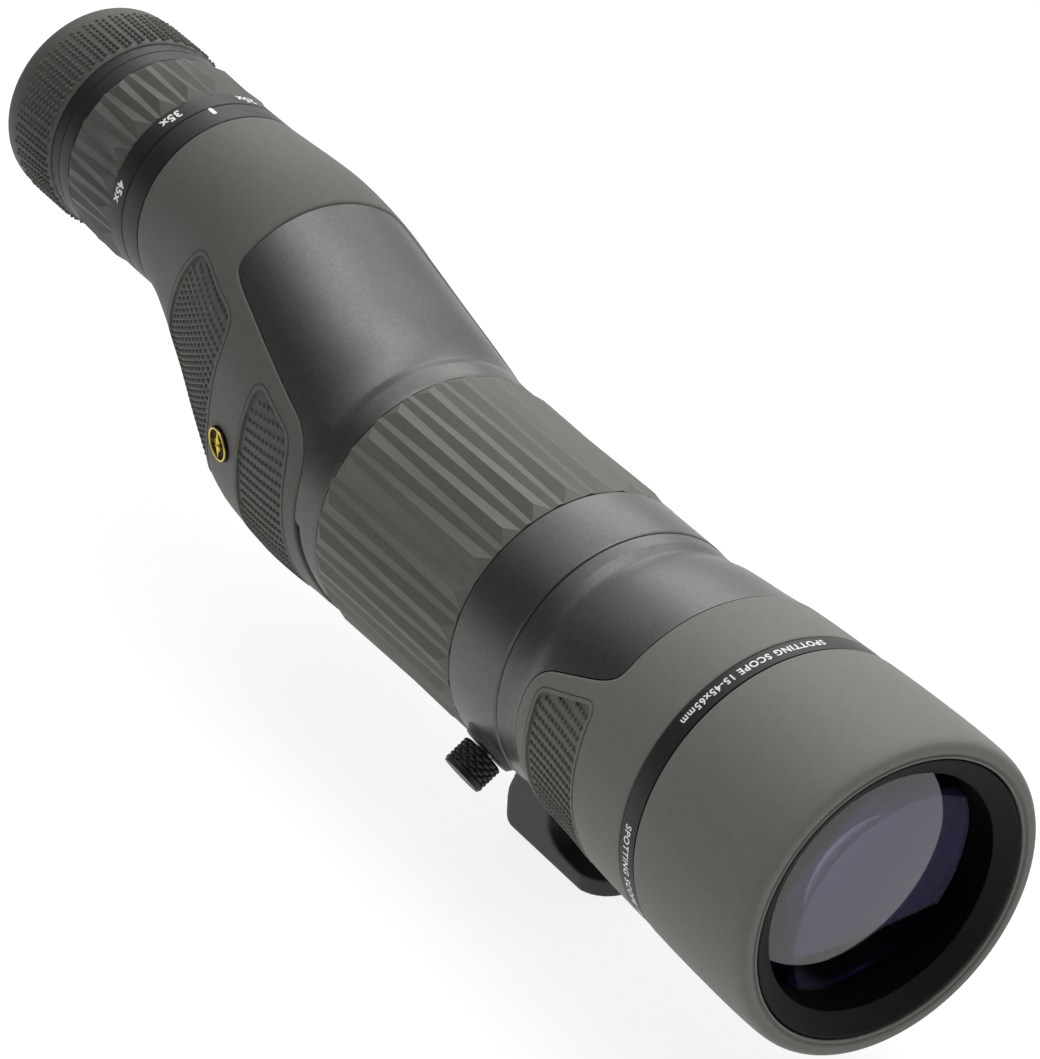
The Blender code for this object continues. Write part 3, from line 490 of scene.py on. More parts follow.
def armour_bmesh(edge_table, far_x, place, panels):
    """Rubber shell between a shaped free edge and a straight far edge."""
    inward = 1.0 if far_x > edge_table[0][1] else -1.0
    half = bend_corners([(x, angle * ARC_MM, rounding) for angle, x, rounding in edge_table],
                        False, 1.6)
    full = [Vector((p.x, -p.y)) for p in reversed(half[1:])] + half
    limit = 180.0 * ARC_MM
    rows = [(0.0, -0.55), (0.14, -0.16), (0.45, 0.0), (1.3, 0.0)]
    lines = []
    stations = []
    for distance, height in rows:
        line = offset_line(full, -inward * distance, False)
        line[0].y, line[-1].y = -limit, limit
        lines.append((line, height, False))
        stations.append((line[0].x, height))
    far_rows = [(0.0, -0.35), (0.12, -0.08), (0.35, 0.0), (1.3, 0.0)]
    for distance, height in far_rows:
        x = far_x - inward * distance
        lines.append(([Vector((x, s)) for s in spread(-limit, limit, 150)], height, False))
        stations.append((x, height))
    edge_x = full[0].x
    first, last = edge_x + inward * 3.4, far_x - inward * 3.4
    seam_steps = max(2, round(abs(last - first) / GRID))
    stations += [(x, 0.0) for x in spread(first, last, seam_steps)]
    stations.sort()
    seams = [([Vector((x, side)) for x, _ in stations], 0.0, False) for side in (-limit, limit)]
    lines += seams
    for outline in panels:
        for side in (1.0, -1.0):
            loop = panel_loop(outline, side, 1.0)
            area = sum(a.x * b.y - b.x * a.y for a, b in zip(loop, loop[1:] + loop[:1]))
            outward = -1.0 if area > 0.0 else 1.0
            for distance, height in ((2.1, 0.0), (1.35, 0.0), (1.2, -0.26), (1.02, -0.26),
                                     (0.85, 0.14), (0.3, 0.16), (0.06, 0.02),
                                     (-0.08, PANEL_FLOOR), (-0.7, PANEL_FLOOR)):
                lines.append((offset_line(loop, outward * distance, True), height, True))
    loose = []
    xs = np.arange(min(edge_x, far_x) - 70.0, max(edge_x, far_x) + 70.0, GRID)
    insides = [np.array([tuple(p) for p in line]) for line, height, closed in lines
               if closed and height == PANEL_FLOOR]
    edge_line = np.array([tuple(p) for p in full])
    for s in np.arange(-limit + GRID, limit - GRID / 2.0, GRID):
        border = float(np.interp(s, edge_line[:, 1], edge_line[:, 0]))
        for x in xs:
            if min(border, far_x) + 1.2 < x < max(border, far_x) - 1.2:
                sunk = any(inside_loop(x, s, loop) for loop in insides)
                loose.append(((x, float(s)), PANEL_FLOOR if sunk else 0.0))
    bm = bmesh.new()
    border_rings = []
    for under in (False, True):
        if under:
            part = [lines[0], lines[len(rows)]] + seams
            spots = [(point, 0.0) for point, _ in loose[::3]]
        else:
            part, spots = lines, loose
        coords, heights, faces = triangulate(part, spots)
        flat = np.array([tuple(c) for c in coords])
        lift = np.array(heights)
        if under:
            lift[:] = -2.0
        spots3 = place(flat[:, 0], flat[:, 1] / ARC_MM, lift)
        verts = [bm.verts.new(point) for point in spots3]
        for face in faces:
            try_face(bm, [verts[k] for k in face])
        border_rings.append(
            {(round(c[0], 3), round(c[1], 3)): verts[k] for k, c in enumerate(coords)})
    for row in (lines[0][0], lines[len(rows)][0]):
        keys = [(round(p.x, 3), round(p.y, 3)) for p in row]
        for a, b in zip(keys, keys[1:]):
            if all(a in ring and b in ring for ring in border_rings):
                top, bottom = border_rings
                try_face(bm, (top[a], top[b], bottom[b], bottom[a]))
    bmesh.ops.remove_doubles(bm, verts=bm.verts, dist=0.004)
    return bm, lines[0][0]


def inside_loop(x, y, loop):
    ahead = np.roll(loop, -1, axis=0)
    crossing = (loop[:, 1] > y) != (ahead[:, 1] > y)
    with np.errstate(divide="ignore", invalid="ignore"):
        at = loop[:, 0] + (y - loop[:, 1]) / (ahead[:, 1] - loop[:, 1]) * (ahead[:, 0] - loop[:, 0])
    return bool(np.sum(crossing & (x < at)) % 2)


def panel_sheet(bm, outline, side, place, row_step, rank_step):
    """Rows of rounded bumps lying in a sunk panel; both steps are seen straight from the side."""
    loop = np.array([tuple(p) for p in panel_loop(outline, side, 0.8)])
    middle = (loop[:, 0].min() + loop[:, 0].max()) / 2.0
    angles = np.linspace(35.0, 150.0, 240)
    reach = range(-40, 41)
    for rank in reach:
        for step in reach:
            x = middle + rank * rank_step[0] + step * row_step[0]
            level = rank * rank_step[1] + step * row_step[1]
            if not loop[:, 0].min() < x < loop[:, 0].max():
                continue
            heights = place(np.full_like(angles, x), angles)[:, 2] - AXIS_Z
            if not heights[-1] < level < heights[0]:
                continue
            angle = float(np.interp(-level, -heights, angles))
            s = side * angle * ARC_MM
            clear = np.min(np.hypot(loop[:, 0] - x, loop[:, 1] - s))
            if clear < 0.7 or not inside_loop(x, s, loop):
                continue
            spots = place(np.array([x, x + 0.3, x, x]),
                          np.array([angle, angle, angle + 0.4, angle]) * side,
                          np.array([PANEL_FLOOR - 0.01] * 3 + [0.0]))
            here, ahead, beside, _ = (Vector(p) for p in spots)
            outward = (ahead - here).cross(beside - here)
            if outward.dot(Vector(spots[3]) - here) < 0.0:
                outward = -outward
            add_dome(bm, here, outward, ahead - here, (0.64, 0.76), 0.78)


# ---- pieces

def free_border(edge, shift):
    """Station of a rubber shell's free edge at an angle, with the edge moved by shift."""
    line = offset_line(edge, shift, False)
    at = np.array([p.y for p in line]) / ARC_MM
    stations = np.array([p.x for p in line])
    return lambda angle: float(np.interp(angle, at, stations))


def step_fade(angle):
    """Depth of a moulded step at an angle, as a share of its depth at the top."""
    return max(0.0, 1.0 - (abs(angle) / STEP_END) ** 3)


def make_front_body():
    bm, edge = armour_bmesh(FRONT_EDGE, 64.9, front_place, [PANEL_C])
    store("front_armour_skin", bm, "armour", "scope_body",
          ["front_armour"], sharp=50.0)
    bm = bmesh.new()
    for side in (1.0, -1.0):
        panel_sheet(bm, PANEL_C, side, front_place, (1.63, -0.12), (0.0, 2.77))
    store("front_panel_bumps", bm, "panel", "scope_body", sharp=60.0)

    border = free_border(edge, 0.3)
    columns = []
    for angle in np.arange(-180.0, 180.0, COLUMN_STEP):
        stop = border(angle)
        column = [(COLLAR_FRONT + 0.22, 36.6), (COLLAR_FRONT + 0.22, 37.1),
                  (COLLAR_FRONT + 0.4, 37.25)]
        for x in [5.5, 7.0, 7.9, 8.1, 8.3, 8.6, 9.4, 10.2, 10.9, 11.3, 11.6, 12.0, 12.6] + spread(
                12.9, max(stop, 13.0), 12)[1:]:
            x = min(x, stop)
            dip = 0.95 * step_fade(angle) * np.clip((x - 8.2) / 3.3, 0.0, 1.0) * (
                1.0 - soft_step(x, 11.5, 30.0))
            column.append((x, float(front_radius(x)) - METAL_DROP * soft_step(x, 4.0, 9.0) - dip))
        base = float(front_radius(stop))
        column += [(stop + 0.02, base - METAL_DROP - 0.15), (stop + 0.05, base - WALL)]
        column += [(x, float(front_radius(x)) - WALL) for x in spread(stop + 0.6, 64.7, 6)]
        column += [(64.7, 37.4), (48.0, 37.4), (48.0, 36.0), (8.0, 32.2), (-89.3, 32.2),
                   (-89.3, 34.5), (COLLAR_FRONT + 0.22, 34.5)]
        columns.append([round_place(x, r, float(angle), AXIS_Z) for x, r in column])
    bm = bmesh.new()
    ring_columns(bm, columns)
    store("barrel_shell", bm, "metal", "scope_body", ["main_barrel"],
          sharp=22.0)


def make_rear_body():
    bm, edge = armour_bmesh(REAR_EDGE, -186.9, rear_place, [PANEL_A, PANEL_B])
    # The rear rubber takes the darker copy of the armour rubber: painted shade.
    store("rear_armour_skin", bm, "rear", "scope_body",
          ["rear_armour"], sharp=50.0)
    bm = bmesh.new()
    for side in (1.0, -1.0):
        panel_sheet(bm, PANEL_A, side, rear_place, (1.62, -0.83), (1.0, 2.44))
        panel_sheet(bm, PANEL_B, side, rear_place, (1.83, 0.17), (0.12, 2.95))
    store("rear_panel_bumps", bm, "panel", "scope_body", sharp=60.0)

    border = free_border(edge, -0.3)
    columns = []
    for angle in np.arange(-180.0, 180.0, COLUMN_STEP):
        angle = float(angle)
        stop = border(angle) + SLIT * (abs(angle) > SLIT_ANGLE)
        column = [round_place(HOUSING_FRONT, r, angle, AXIS_Z) for r in (34.8, 36.9, 37.2)]
        stations = [-81.3, -82.5, -84.0, -86.0, -86.7, -86.9, -87.1, -87.5, -88.4, -89.4, -90.2,
                    -90.5, -90.7, -91.0, -91.6]
        stations += spread(-92.0, min(stop, -92.0), 20)[1:]
        for x in stations:
            x = max(x, stop)
            dip = 1.2 * step_fade(angle) * np.clip((-87.0 - x) / 3.5, 0.0, 1.0) * (
                1.0 - soft_step(-x, 90.6, 108.0))
            column.append(rear_point(x, angle, -METAL_DROP - dip))
        column += [rear_point(stop - 0.02, angle, -METAL_DROP - 0.15),
                   rear_point(stop - 0.05, angle, -WALL)]
        column += [rear_point(x, angle, -WALL) for x in spread(stop - 0.6, -186.6, 12)]
        column += [round_place(x, 20.3, angle, EYE_Z) for x in (-186.6, -179.0)]
        column += [rear_point(x, angle, -4.6) for x in spread(-178.6, -92.0, 5)]
        column += [round_place(-90.0, 34.8, angle, AXIS_Z)]
        columns.append(column)
    bm = bmesh.new()
    ring_columns(bm, columns)
    store("prism_housing_shell", bm, "metal", "scope_body",
          ["prism_housing"], sharp=22.0)

    # Near-black sheet a millimetre down inside the open slit: painted shadow that makes the gap
    # read dark.
    columns = []
    for angle in spread(SLIT_ANGLE + 0.8, 359.2 - SLIT_ANGLE, 120):
        back = border((angle + 180.0) % 360.0 - 180.0) + 0.02
        columns.append([rear_point(x, angle, lift) for x, lift in (
            (back, 0.05 - WALL), (back, -1.0), (back + SLIT - 0.07, -1.0),
            (back + SLIT - 0.07, 0.05 - WALL))])
    bm = bmesh.new()
    loops = ring_columns(bm, columns, wrap=False)
    bm.faces.new(loops[0])
    bm.faces.new(list(reversed(loops[-1])))
    store("slit_painted_shadow", bm, "bore", "scope_body")


def facet_sleeve(axis_z, rear, front, inner, facets, layout, steps=14):
    """Sleeve whose two sets of ridges each run out in a chamfer triangle at one end."""
    period = 360.0 / facets
    bm = bmesh.new()

    def corner(name, base):
        x, r, angle = layout[name]
        return Vector(round_place(x, r, base + angle, axis_z))

    def strip(a, b, c, d):
        """Ruled surface from line a-b to line c-d, cut along its length."""
        rows = [(bm.verts.new(a.lerp(b, t)), bm.verts.new(c.lerp(d, t)))
                for t in spread(0.0, 1.0, steps)]
        for (p, q), (r, s) in zip(rows, rows[1:]):
            bm.faces.new((p, q, s, r))

    def chamfer(apex, first, last, base, turn=0.0):
        """Triangle from an apex to the arc between two corners at an end of the sleeve."""
        x, r0, a0 = layout[first]
        _, r1, a1 = layout[last]
        a0 -= turn
        arc = [Vector(round_place(x, r0 + (r1 - r0) * t, base + a0 + (a1 - a0) * t, axis_z))
               for t in spread(0.0, 1.0, 3)]
        made = [bm.verts.new(point) for point in arc]
        tip = bm.verts.new(apex)
        for m, n in zip(made, made[1:]):
            bm.faces.new((m, n, tip))
        return arc

    rear_loop, front_loop = [], []
    for k in range(facets):
        base = period * k
        p = {name: corner(name, base) for name in layout}
        lines = [(p[a + "0"], p[a + "1"]) for a in "BCAD"]
        lines.append((corner("B0", base + period), corner("B1", base + period)))
        for (a, b), (c, d) in zip(lines, lines[1:]):
            strip(a, b, c, d)
        rear_loop += [p["B0"]] + chamfer(p["A0"], "C0", "D0", base)
        front_loop += chamfer(p["B1"], "D1", "C1", base, period) + [p["A1"]]
    for loop, x in ((rear_loop, rear), (front_loop, front)):
        outer = [bm.verts.new(point) for point in loop]
        bridge(bm, outer, [bm.verts.new(Vector((x, 0.0, axis_z)) + inner * Vector(
            (0.0, point.y, point.z - axis_z)).normalized()) for point in loop])
    bmesh.ops.remove_doubles(bm, verts=bm.verts, dist=0.002)
    return bm


def make_grips():
    focus = {
        "A0": (FOCUS_REAR + 3.0, 38.35, 8.9), "A1": (FOCUS_FRONT, 37.5, 8.9),
        "B0": (FOCUS_REAR, 37.75, 1.4), "B1": (FOCUS_FRONT - 4.0, 38.35, 1.4),
        "C0": (FOCUS_REAR, 37.4, 4.5), "C1": (FOCUS_FRONT, 37.15, 6.5),
        "D0": (FOCUS_REAR, 37.4, 14.0), "D1": (FOCUS_FRONT, 37.15, 12.0),
    }
    bm = facet_sleeve(AXIS_Z, FOCUS_REAR, FOCUS_FRONT, 36.2, 24, focus)
    store("focus_grip_sleeve", bm, "grip", "focus_ring", ["focus_grip"],
          sharp=7.0)
    zoom = {
        "A0": (ZOOM_REAR + 2.0, 28.8, 10.0), "A1": (ZOOM_FRONT, 28.1, 10.0),
        "B0": (ZOOM_REAR, 28.2, 1.2), "B1": (ZOOM_FRONT - 5.4, 28.8, 1.2),
        "C0": (ZOOM_REAR, 27.9, 5.0), "C1": (ZOOM_FRONT, 27.7, 7.5),
        "D0": (ZOOM_REAR, 27.9, 16.0), "D1": (ZOOM_FRONT, 27.7, 13.7),
    }
    bm = facet_sleeve(EYE_Z, ZOOM_REAR, ZOOM_FRONT, 25.0, 20, zoom, steps=8)
    store("zoom_grip_sleeve", bm, "cup", "zoom_ring", ["zoom_grip"],
          sharp=7.0)


def make_objective_end():
    x0 = SHADE_REAR
    turned_piece("sunshade_skin", "armour", "sunshade", ["sunshade_armour"],
                 AXIS_Z, [
        (x0, 42.75, 0.4), (x0 + 0.4, 43.05, 0.5), (79.0, 43.45, 4.0), (87.0, 43.8, 6.0),
        (102.0, 44.25, 8.0), (111.5, 44.2, 4.0), (115.5, 43.8, 1.5), (RIM_X, 42.6, 1.0),
        (RIM_X, 40.5, 0.3), (RIM_X - 0.6, 40.2, 0.2), (RIM_X - 0.6, 39.75, 0.15),
        (RIM_X - 0.25, 39.55, 0.2), (RIM_X - 0.25, 38.95, 0.2), (115.3, 38.95, 0.1),
        (115.3, 40.7, 0.2), (x0, 40.7, 0.2)])
    turned_piece("sunshade_sleeve", "black", "sunshade", ["sunshade_tube"], AXIS_Z, [
        (x0, 38.95, 0.2), (115.0, 38.95, 0.2), (115.0, 40.4, 0.2), (x0, 40.4, 0.2)])
    turned_piece("name_band", "black", "scope_body", ["name_ring"], AXIS_Z, [
        (NAME_REAR, 42.3, 0.2), (NAME_REAR, 42.6, 0.2), (NAME_FRONT, 42.6, 0.2),
        (NAME_FRONT, 42.3, 0.2), (NAME_FRONT, 40.5, 0.2), (NAME_REAR, 40.5, 0.2)])
    turned_piece("objective_barrel", "black", "scope_body", ["objective_housing"],
                 AXIS_Z, [
        (49.0, 36.7), (65.1, 36.7), (65.1, 40.2, 0.1), (71.2, 40.2, 0.1), (71.2, 37.0, 0.3),
        (109.2, 37.0, 0.4), (109.2, 35.3), (49.0, 35.3)])
    turned_piece("objective_front_bezel", "matt", "scope_body",
                 ["objective_front_ring"], AXIS_Z, [
        (104.1, 33.4), (112.9, 33.4), (112.7, 32.9, 0.15), (113.0, 32.9, 0.3), (116.1, 37.5, 0.3),
        (116.35, 37.8, 0.2), (116.35, 38.5, 0.3), (109.5, 38.5, 0.2), (109.5, 35.0),
        (104.1, 35.0)])
    turned_piece("objective_bore_sleeve", "bore", "scope_body", (), AXIS_Z, [
        (104.1, 32.5), (104.4, 32.5, 0.2), (105.0, 32.9, 0.3), (112.7, 32.9), (112.7, 33.35),
        (104.1, 33.35)])
    make_lens("objective_front_glass", 99.6, 103.8, 33.4, 3.7, 3.1, AXIS_Z, "lens",
              "objective_front_lens")
    make_lens("objective_rear_glass", 91.0, 97.8, 33.4, 0.9, -3.7, AXIS_Z, "coated",
              "objective_rear_lens")


def make_lens(name, rear_edge, front_edge, radius, rear_bulge, front_bulge, axis_z, look, node):
    """Lens with spherical faces; a bulge is positive where the face swells out."""
    def face(edge, bulge, outward, rings=14):
        sphere = (radius ** 2 + bulge ** 2) / (2.0 * abs(bulge))
        rows = []
        for k in range(rings + 1):
            r = radius * k / rings
            drop = sphere - math.sqrt(sphere ** 2 - r ** 2)
            rows.append((edge + outward * math.copysign(abs(bulge) - drop, bulge), r))
        return rows

    bm = bmesh.new()
    segments = 96
    rims = []
    for rows in (face(rear_edge, rear_bulge, -1.0), face(front_edge, front_bulge, 1.0)):
        centre = bm.verts.new((rows[0][0], 0.0, axis_z))
        before = None
        for x, r in rows[1:]:
            ring = [bm.verts.new(round_place(x, r, 360.0 * k / segments, axis_z))
                    for k in range(segments)]
            if before:
                bridge(bm, before, ring)
            else:
                for k in range(segments):
                    bm.faces.new((centre, ring[k], ring[(k + 1) % segments]))
            before = ring
        rims.append(before)
    bridge(bm, *rims)
    store(name, bm, look, "scope_body", [node])


def make_eyepiece():
    turned_piece("eyepiece_barrel", "matt", "scope_body", ["eyepiece_tube"], EYE_Z, [
        (-250.0, 20.0, 0.3), (-189.3, 20.0), (-189.3, 25.7), (-187.2, 25.7), (-187.2, 20.0),
        (-179.5, 20.0), (-179.5, 17.5), (-250.0, 17.5, 0.3)])
    turned_piece("index_band", "black", "scope_body", ["index_ring"], EYE_Z, [
        (-195.1, 28.0, 0.1), (-194.95, 28.2, 0.15), (-187.5, 28.2, 0.15), (EYEPIECE_X, 28.0, 0.1),
        (EYEPIECE_X, 26.0), (-189.6, 26.0), (-189.6, 20.3), (-195.1, 20.3)])
    turned_piece("scale_band", "black", "zoom_ring", ["scale_ring"], EYE_Z, [
        (SCALE_REAR, 28.0, 0.1), (SCALE_REAR + 0.2, 28.2, 0.15), (SCALE_FRONT - 0.2, 28.2, 0.15),
        (SCALE_FRONT, 28.0, 0.1), (SCALE_FRONT, 25.0), (SCALE_REAR, 25.0)])
    turned_piece("stop_band", "black", "scope_body", ["eyecup_stop_ring"], EYE_Z, [
        (-234.0, 27.7, 0.15), (-233.85, 27.9, 0.15), (-230.1, 27.9, 0.1), (-230.0, 27.7, 0.05),
        (-229.8, 27.7, 0.05), (-229.7, 27.9, 0.1), (-224.8, 27.9, 0.15), (-224.6, 27.7, 0.15),
        (-224.6, 20.3), (-234.0, 20.3)])
    turned_piece("eyecup_rubber_cup", "cup", "eyecup", ["eyecup"], EYE_Z, [
        (CUP_FRONT, 25.0, 0.1), (CUP_FRONT, 28.0, 0.3), (CUP_FRONT - 0.7, 28.4, 0.4),
        (-245.0, 28.65, 4.0), (-252.2, 28.8, 1.0), (-252.7, 28.95, 0.5), (-255.4, 28.9, 2.0),
        (-257.6, 28.4, 1.4), (CUP_REAR, 26.6, 1.8), (CUP_REAR, 23.0, 2.0), (-257.6, 19.6, 1.6),
        (-255.3, 18.4, 0.6), (-255.3, 25.0, 0.2)])
    bm = bmesh.new()
    for k in range(45):
        for first, count, offset in ((-250.95, 9, 3.0), (-251.85, 10, 6.3)):
            for n in range(count):
                x, angle = first + 1.785 * n, 8.0 * k + offset
                add_dome(bm, Vector(round_place(x, 28.5, angle, EYE_Z)),
                         Vector(round_place(0.0, 1.0, angle, 0.0)),
                         Vector((1.0, 0.0, 0.0)), (0.62, 0.68), 0.85)
    store("eyecup_dots", bm, "cup", "eyecup", sharp=60.0)
    make_lens("eye_glass", -247.0, -243.2, 17.2, 2.3, 3.0, EYE_Z, "lens", "eye_lens")
    turned_piece("eye_glass_retainer", "matt", "scope_body", ["eye_lens_retainer"],
                 EYE_Z, [
        (-249.8, 15.9, 0.2), (-249.8, 17.2), (-247.8, 17.2), (-247.8, 15.6), (-249.2, 15.4, 0.2)])


def printed(name, text, height, start, end, axis_z, radius, rear, body, bold, spacing):
    """Raised white print wrapped round a ring, reading down its right-hand side."""
    curve = bpy.data.curves.new(name, "FONT")
    curve.body = text
    curve.offset = bold
    curve.space_character = spacing
    curve.resolution_u = 5
    curve.extrude = 0.02
    holder = bpy.data.objects.new(name + "_flat", curve)
    bpy.context.collection.objects.link(holder)
    mesh = bpy.data.meshes.new_from_object(holder)
    bpy.data.objects.remove(holder)
    bpy.data.curves.remove(curve)
    bm = bmesh.new()
    bm.from_mesh(mesh)
    bpy.data.meshes.remove(mesh)
    lows = [min(v.co[axis] for v in bm.verts) for axis in (0, 1)]
    highs = [max(v.co[axis] for v in bm.verts) for axis in (0, 1)]
    scale = height / (highs[1] - lows[1])
    across = math.radians(end - start) * radius / (highs[0] - lows[0])
    bmesh.ops.triangulate(bm, faces=bm.faces)
    for vert in bm.verts:
        angle = start + math.degrees((vert.co.x - lows[0]) * across / radius)
        x = rear + (vert.co.y - lows[1]) * scale
        vert.co = round_place(x, radius + 0.03 + vert.co.z * 2.0, angle, axis_z)
    bmesh.ops.remove_doubles(bm, verts=bm.verts, dist=0.0005)
    store(name, bm, "white", body, sharp=30.0)


def make_print():
    for k, start in enumerate((-17.0, 80.5)):
        printed(f"band_text_{k + 1}", "SPOTTING SCOPE 15-45x65mm", 2.25, start, start + 58.5,
                AXIS_Z, 42.6, 66.85, "scope_body", 0.022, 1.14)
    for text, start in (("15x", -82.0), ("25x", -33.0), ("35x", 16.5), ("45x", 67.0)):
        printed(f"scale_{text}", text, 3.1, start, start + 13.0, EYE_Z, 28.2, -200.3, "zoom_ring",
                0.03, 1.08)
    bm = bmesh.new()
    outline = bend_corners([(-195.0, 0.6, 0.5), (-191.7, 0.6, 0.5), (-191.7, 1.85, 0.5),
                            (-195.0, 1.85, 0.5)], True, 0.4)
    top, low = ([bm.verts.new(round_place(p.x, r, math.degrees(p.y / 28.2), EYE_Z))
                 for p in outline] for r in (28.28, 28.1))
    bm.faces.new(top)
    bm.faces.new(list(reversed(low)))
    bridge(bm, top, low)
    store("index_mark", bm, "white", "scope_body")


def make_collar():
    """Collar ring with the tripod foot and the boss of the clamp, as one casting."""
    rear, front = COLLAR_REAR, COLLAR_FRONT
    turned_piece("collar_band", "metal", "collar", ["tripod_collar"], AXIS_Z, [
        (rear, 36.0), (rear, 37.1, 0.3), (rear + 0.5, 37.55, 0.4), (front - 0.5, 37.55, 0.4),
        (front, 37.1, 0.3), (front, 36.0)], sharp=22.0)
    side = [
        (-19.4, 0.2, 1.0), (20.8, 0.2, 1.0), (20.8, 5.7, 1.4), (9.6, 5.8, 3.0), (2.0, 6.6, 3.0),
        (-2.0, 10.4, 3.5), (-1.9, 15.4, 4.0), (0.4, 20.5, 4.0), (1.6, 24.5, 1.0),
        (-15.8, 24.5, 1.0), (-17.0, 19.6, 3.0), (-21.0, 11.0, 3.0), (-21.0, 1.6, 1.4),
    ]
    outline = bend_corners(side, True, 1.2, steps=6)
    foot = slab("foot_block", [(p.x, -15.8, p.y) for p in outline], (0.0, 31.6, 0.0))
    plan = bend_corners([(-30.0, -16.4, 0.0), (20.9, -16.4, 13.0), (20.9, 16.4, 13.0),
                         (-30.0, 16.4, 0.0)], True, 2.0, steps=10)
    boolean(foot, slab("foot_plan", [(p.x, p.y, -5.0) for p in plan], (0.0, 0.0, 40.0)),
            "INTERSECT")
    bm = bmesh.new()
    spin_solid(bm, [(30.0, 8.6), (36.6, 8.6, 1.0), (38.0, 7.6, 0.5), (39.25, 7.0, 0.3)],
               lock_place(), 48)
    boolean(foot, temporary("boss_block", bm), "UNION")
    ring = turned_bmesh([(rear + 0.7, 35.0), (rear + 0.7, 37.3), (front - 0.7, 37.3),
                         (front - 0.7, 35.0)], AXIS_Z, 96)
    boolean(foot, temporary("ring_block", ring), "UNION")
    hole = bmesh.new()
    bmesh.ops.create_cone(hole, cap_ends=True, segments=40, radius1=4.6, radius2=4.6, depth=18.0,
                          matrix=Matrix.Translation((-8.0, 0.0, 0.0)))
    boolean(foot, temporary("bush_bore", hole), "DIFFERENCE")
    bore = turned_bmesh([(-40.0, 36.0), (40.0, 36.0), (40.0, 0.5), (-40.0, 0.5)], AXIS_Z, 96)
    boolean(foot, temporary("barrel_bore", bore), "DIFFERENCE")
    remesh = foot.modifiers.new("remesh", "REMESH")
    remesh.mode = "VOXEL"
    remesh.voxel_size = 0.55
    smooth = foot.modifiers.new("smooth", "SMOOTH")
    smooth.factor = 0.5
    smooth.iterations = 5
    bm = bmesh.new()
    bm.from_object(foot, bpy.context.evaluated_depsgraph_get())
    discard(foot)
    # The foot takes the darker foot look rather than the collar's metal: painted shade.
    store("collar_foot", bm, "foot", "collar", sharp=60.0)


def slab(name, corners, push):
    """Temporary block: a flat outline pushed along one vector."""
    bm = bmesh.new()
    near = bm.faces.new([bm.verts.new(corner) for corner in corners])
    far = bmesh.ops.extrude_face_region(bm, geom=[near])
    moved = [item for item in far["geom"] if isinstance(item, bmesh.types.BMVert)]
    bmesh.ops.translate(bm, verts=moved, vec=push)
    return temporary(name, bm)


def temporary(name, bm):
    mesh = bpy.data.meshes.new(name)
    bmesh.ops.recalc_face_normals(bm, faces=bm.faces)
    bm.to_mesh(mesh)
    bm.free()
    holder = bpy.data.objects.new(name, mesh)
    bpy.context.collection.objects.link(holder)
    return holder


def discard(holder):
    mesh = holder.data
    bpy.data.objects.remove(holder)
    bpy.data.meshes.remove(mesh)


def boolean(target, tool, operation):
    modifier = target.modifiers.new(operation, "BOOLEAN")
    modifier.operation = operation
    modifier.solver = "EXACT"
    modifier.object = tool
    graph = bpy.context.evaluated_depsgraph_get()
    bm = bmesh.new()
    bm.from_object(target, graph)
    target.modifiers.clear()
    bm.to_mesh(target.data)
    bm.free()
    discard(tool)


def lock_place():
    """Frame of the collar lock: its own Z points outwards from the barrel's axis."""
    away = Vector(round_place(0.0, 1.0, LOCK_ANGLE, 0.0))
    return (Matrix.Translation((LOCK_X, 0.0, AXIS_Z))
            @ away.to_track_quat("Z", "X").to_matrix().to_4x4())


def spin_solid(bm, profile, matrix, segments=64):
    """Solid of revolution about the matrix's own Z from (height, radius, rounding) points."""
    rings = [[bm.verts.new(matrix @ round_point(r, k / segments, h)) for k in range(segments)]
             for h, r in soften(profile)]
    for here, there in zip(rings, rings[1:]):
        bridge(bm, here, there)
    bm.faces.new(list(reversed(rings[0])))
    bm.faces.new(rings[-1])


def round_point(radius, turns, height):
    a = math.tau * turns
    return Vector((radius * math.cos(a), radius * math.sin(a), height))


def make_knob():
    matrix = lock_place()
    away = Vector(round_place(0.0, 1.0, LOCK_ANGLE, 0.0))
    bm = bmesh.new()
    spin_solid(bm, [(39.6, 5.0, 0.3), (39.9, 5.6, 0.3), (45.9, 5.6, 0.2), (46.0, 6.1, 0.2),
                    (47.2, 6.1, 0.4)], matrix)
    around = 13
    for row in range(5):
        for k in range(around):
            turns = (k + 0.5 * (row % 2)) / around
            outward = matrix.to_3x3() @ round_point(1.0, turns, 0.0)
            centre = matrix @ round_point(5.55, turns, 40.55 + 1.15 * row)
            add_dome(bm, centre, outward, away, (0.74, 1.2), 0.62)
    store("lock_knob_grip", bm, "knob", "lock_knob", ["lock_knob"], sharp=50.0)
    bm = bmesh.new()
    spin_solid(bm, [(47.25, 5.9, 0.1), (47.6, 5.9, 0.25), (47.75, 5.5, 0.2)], matrix)
    store("lock_knob_face", bm, "black", "lock_knob", ["lock_knob_cap"])


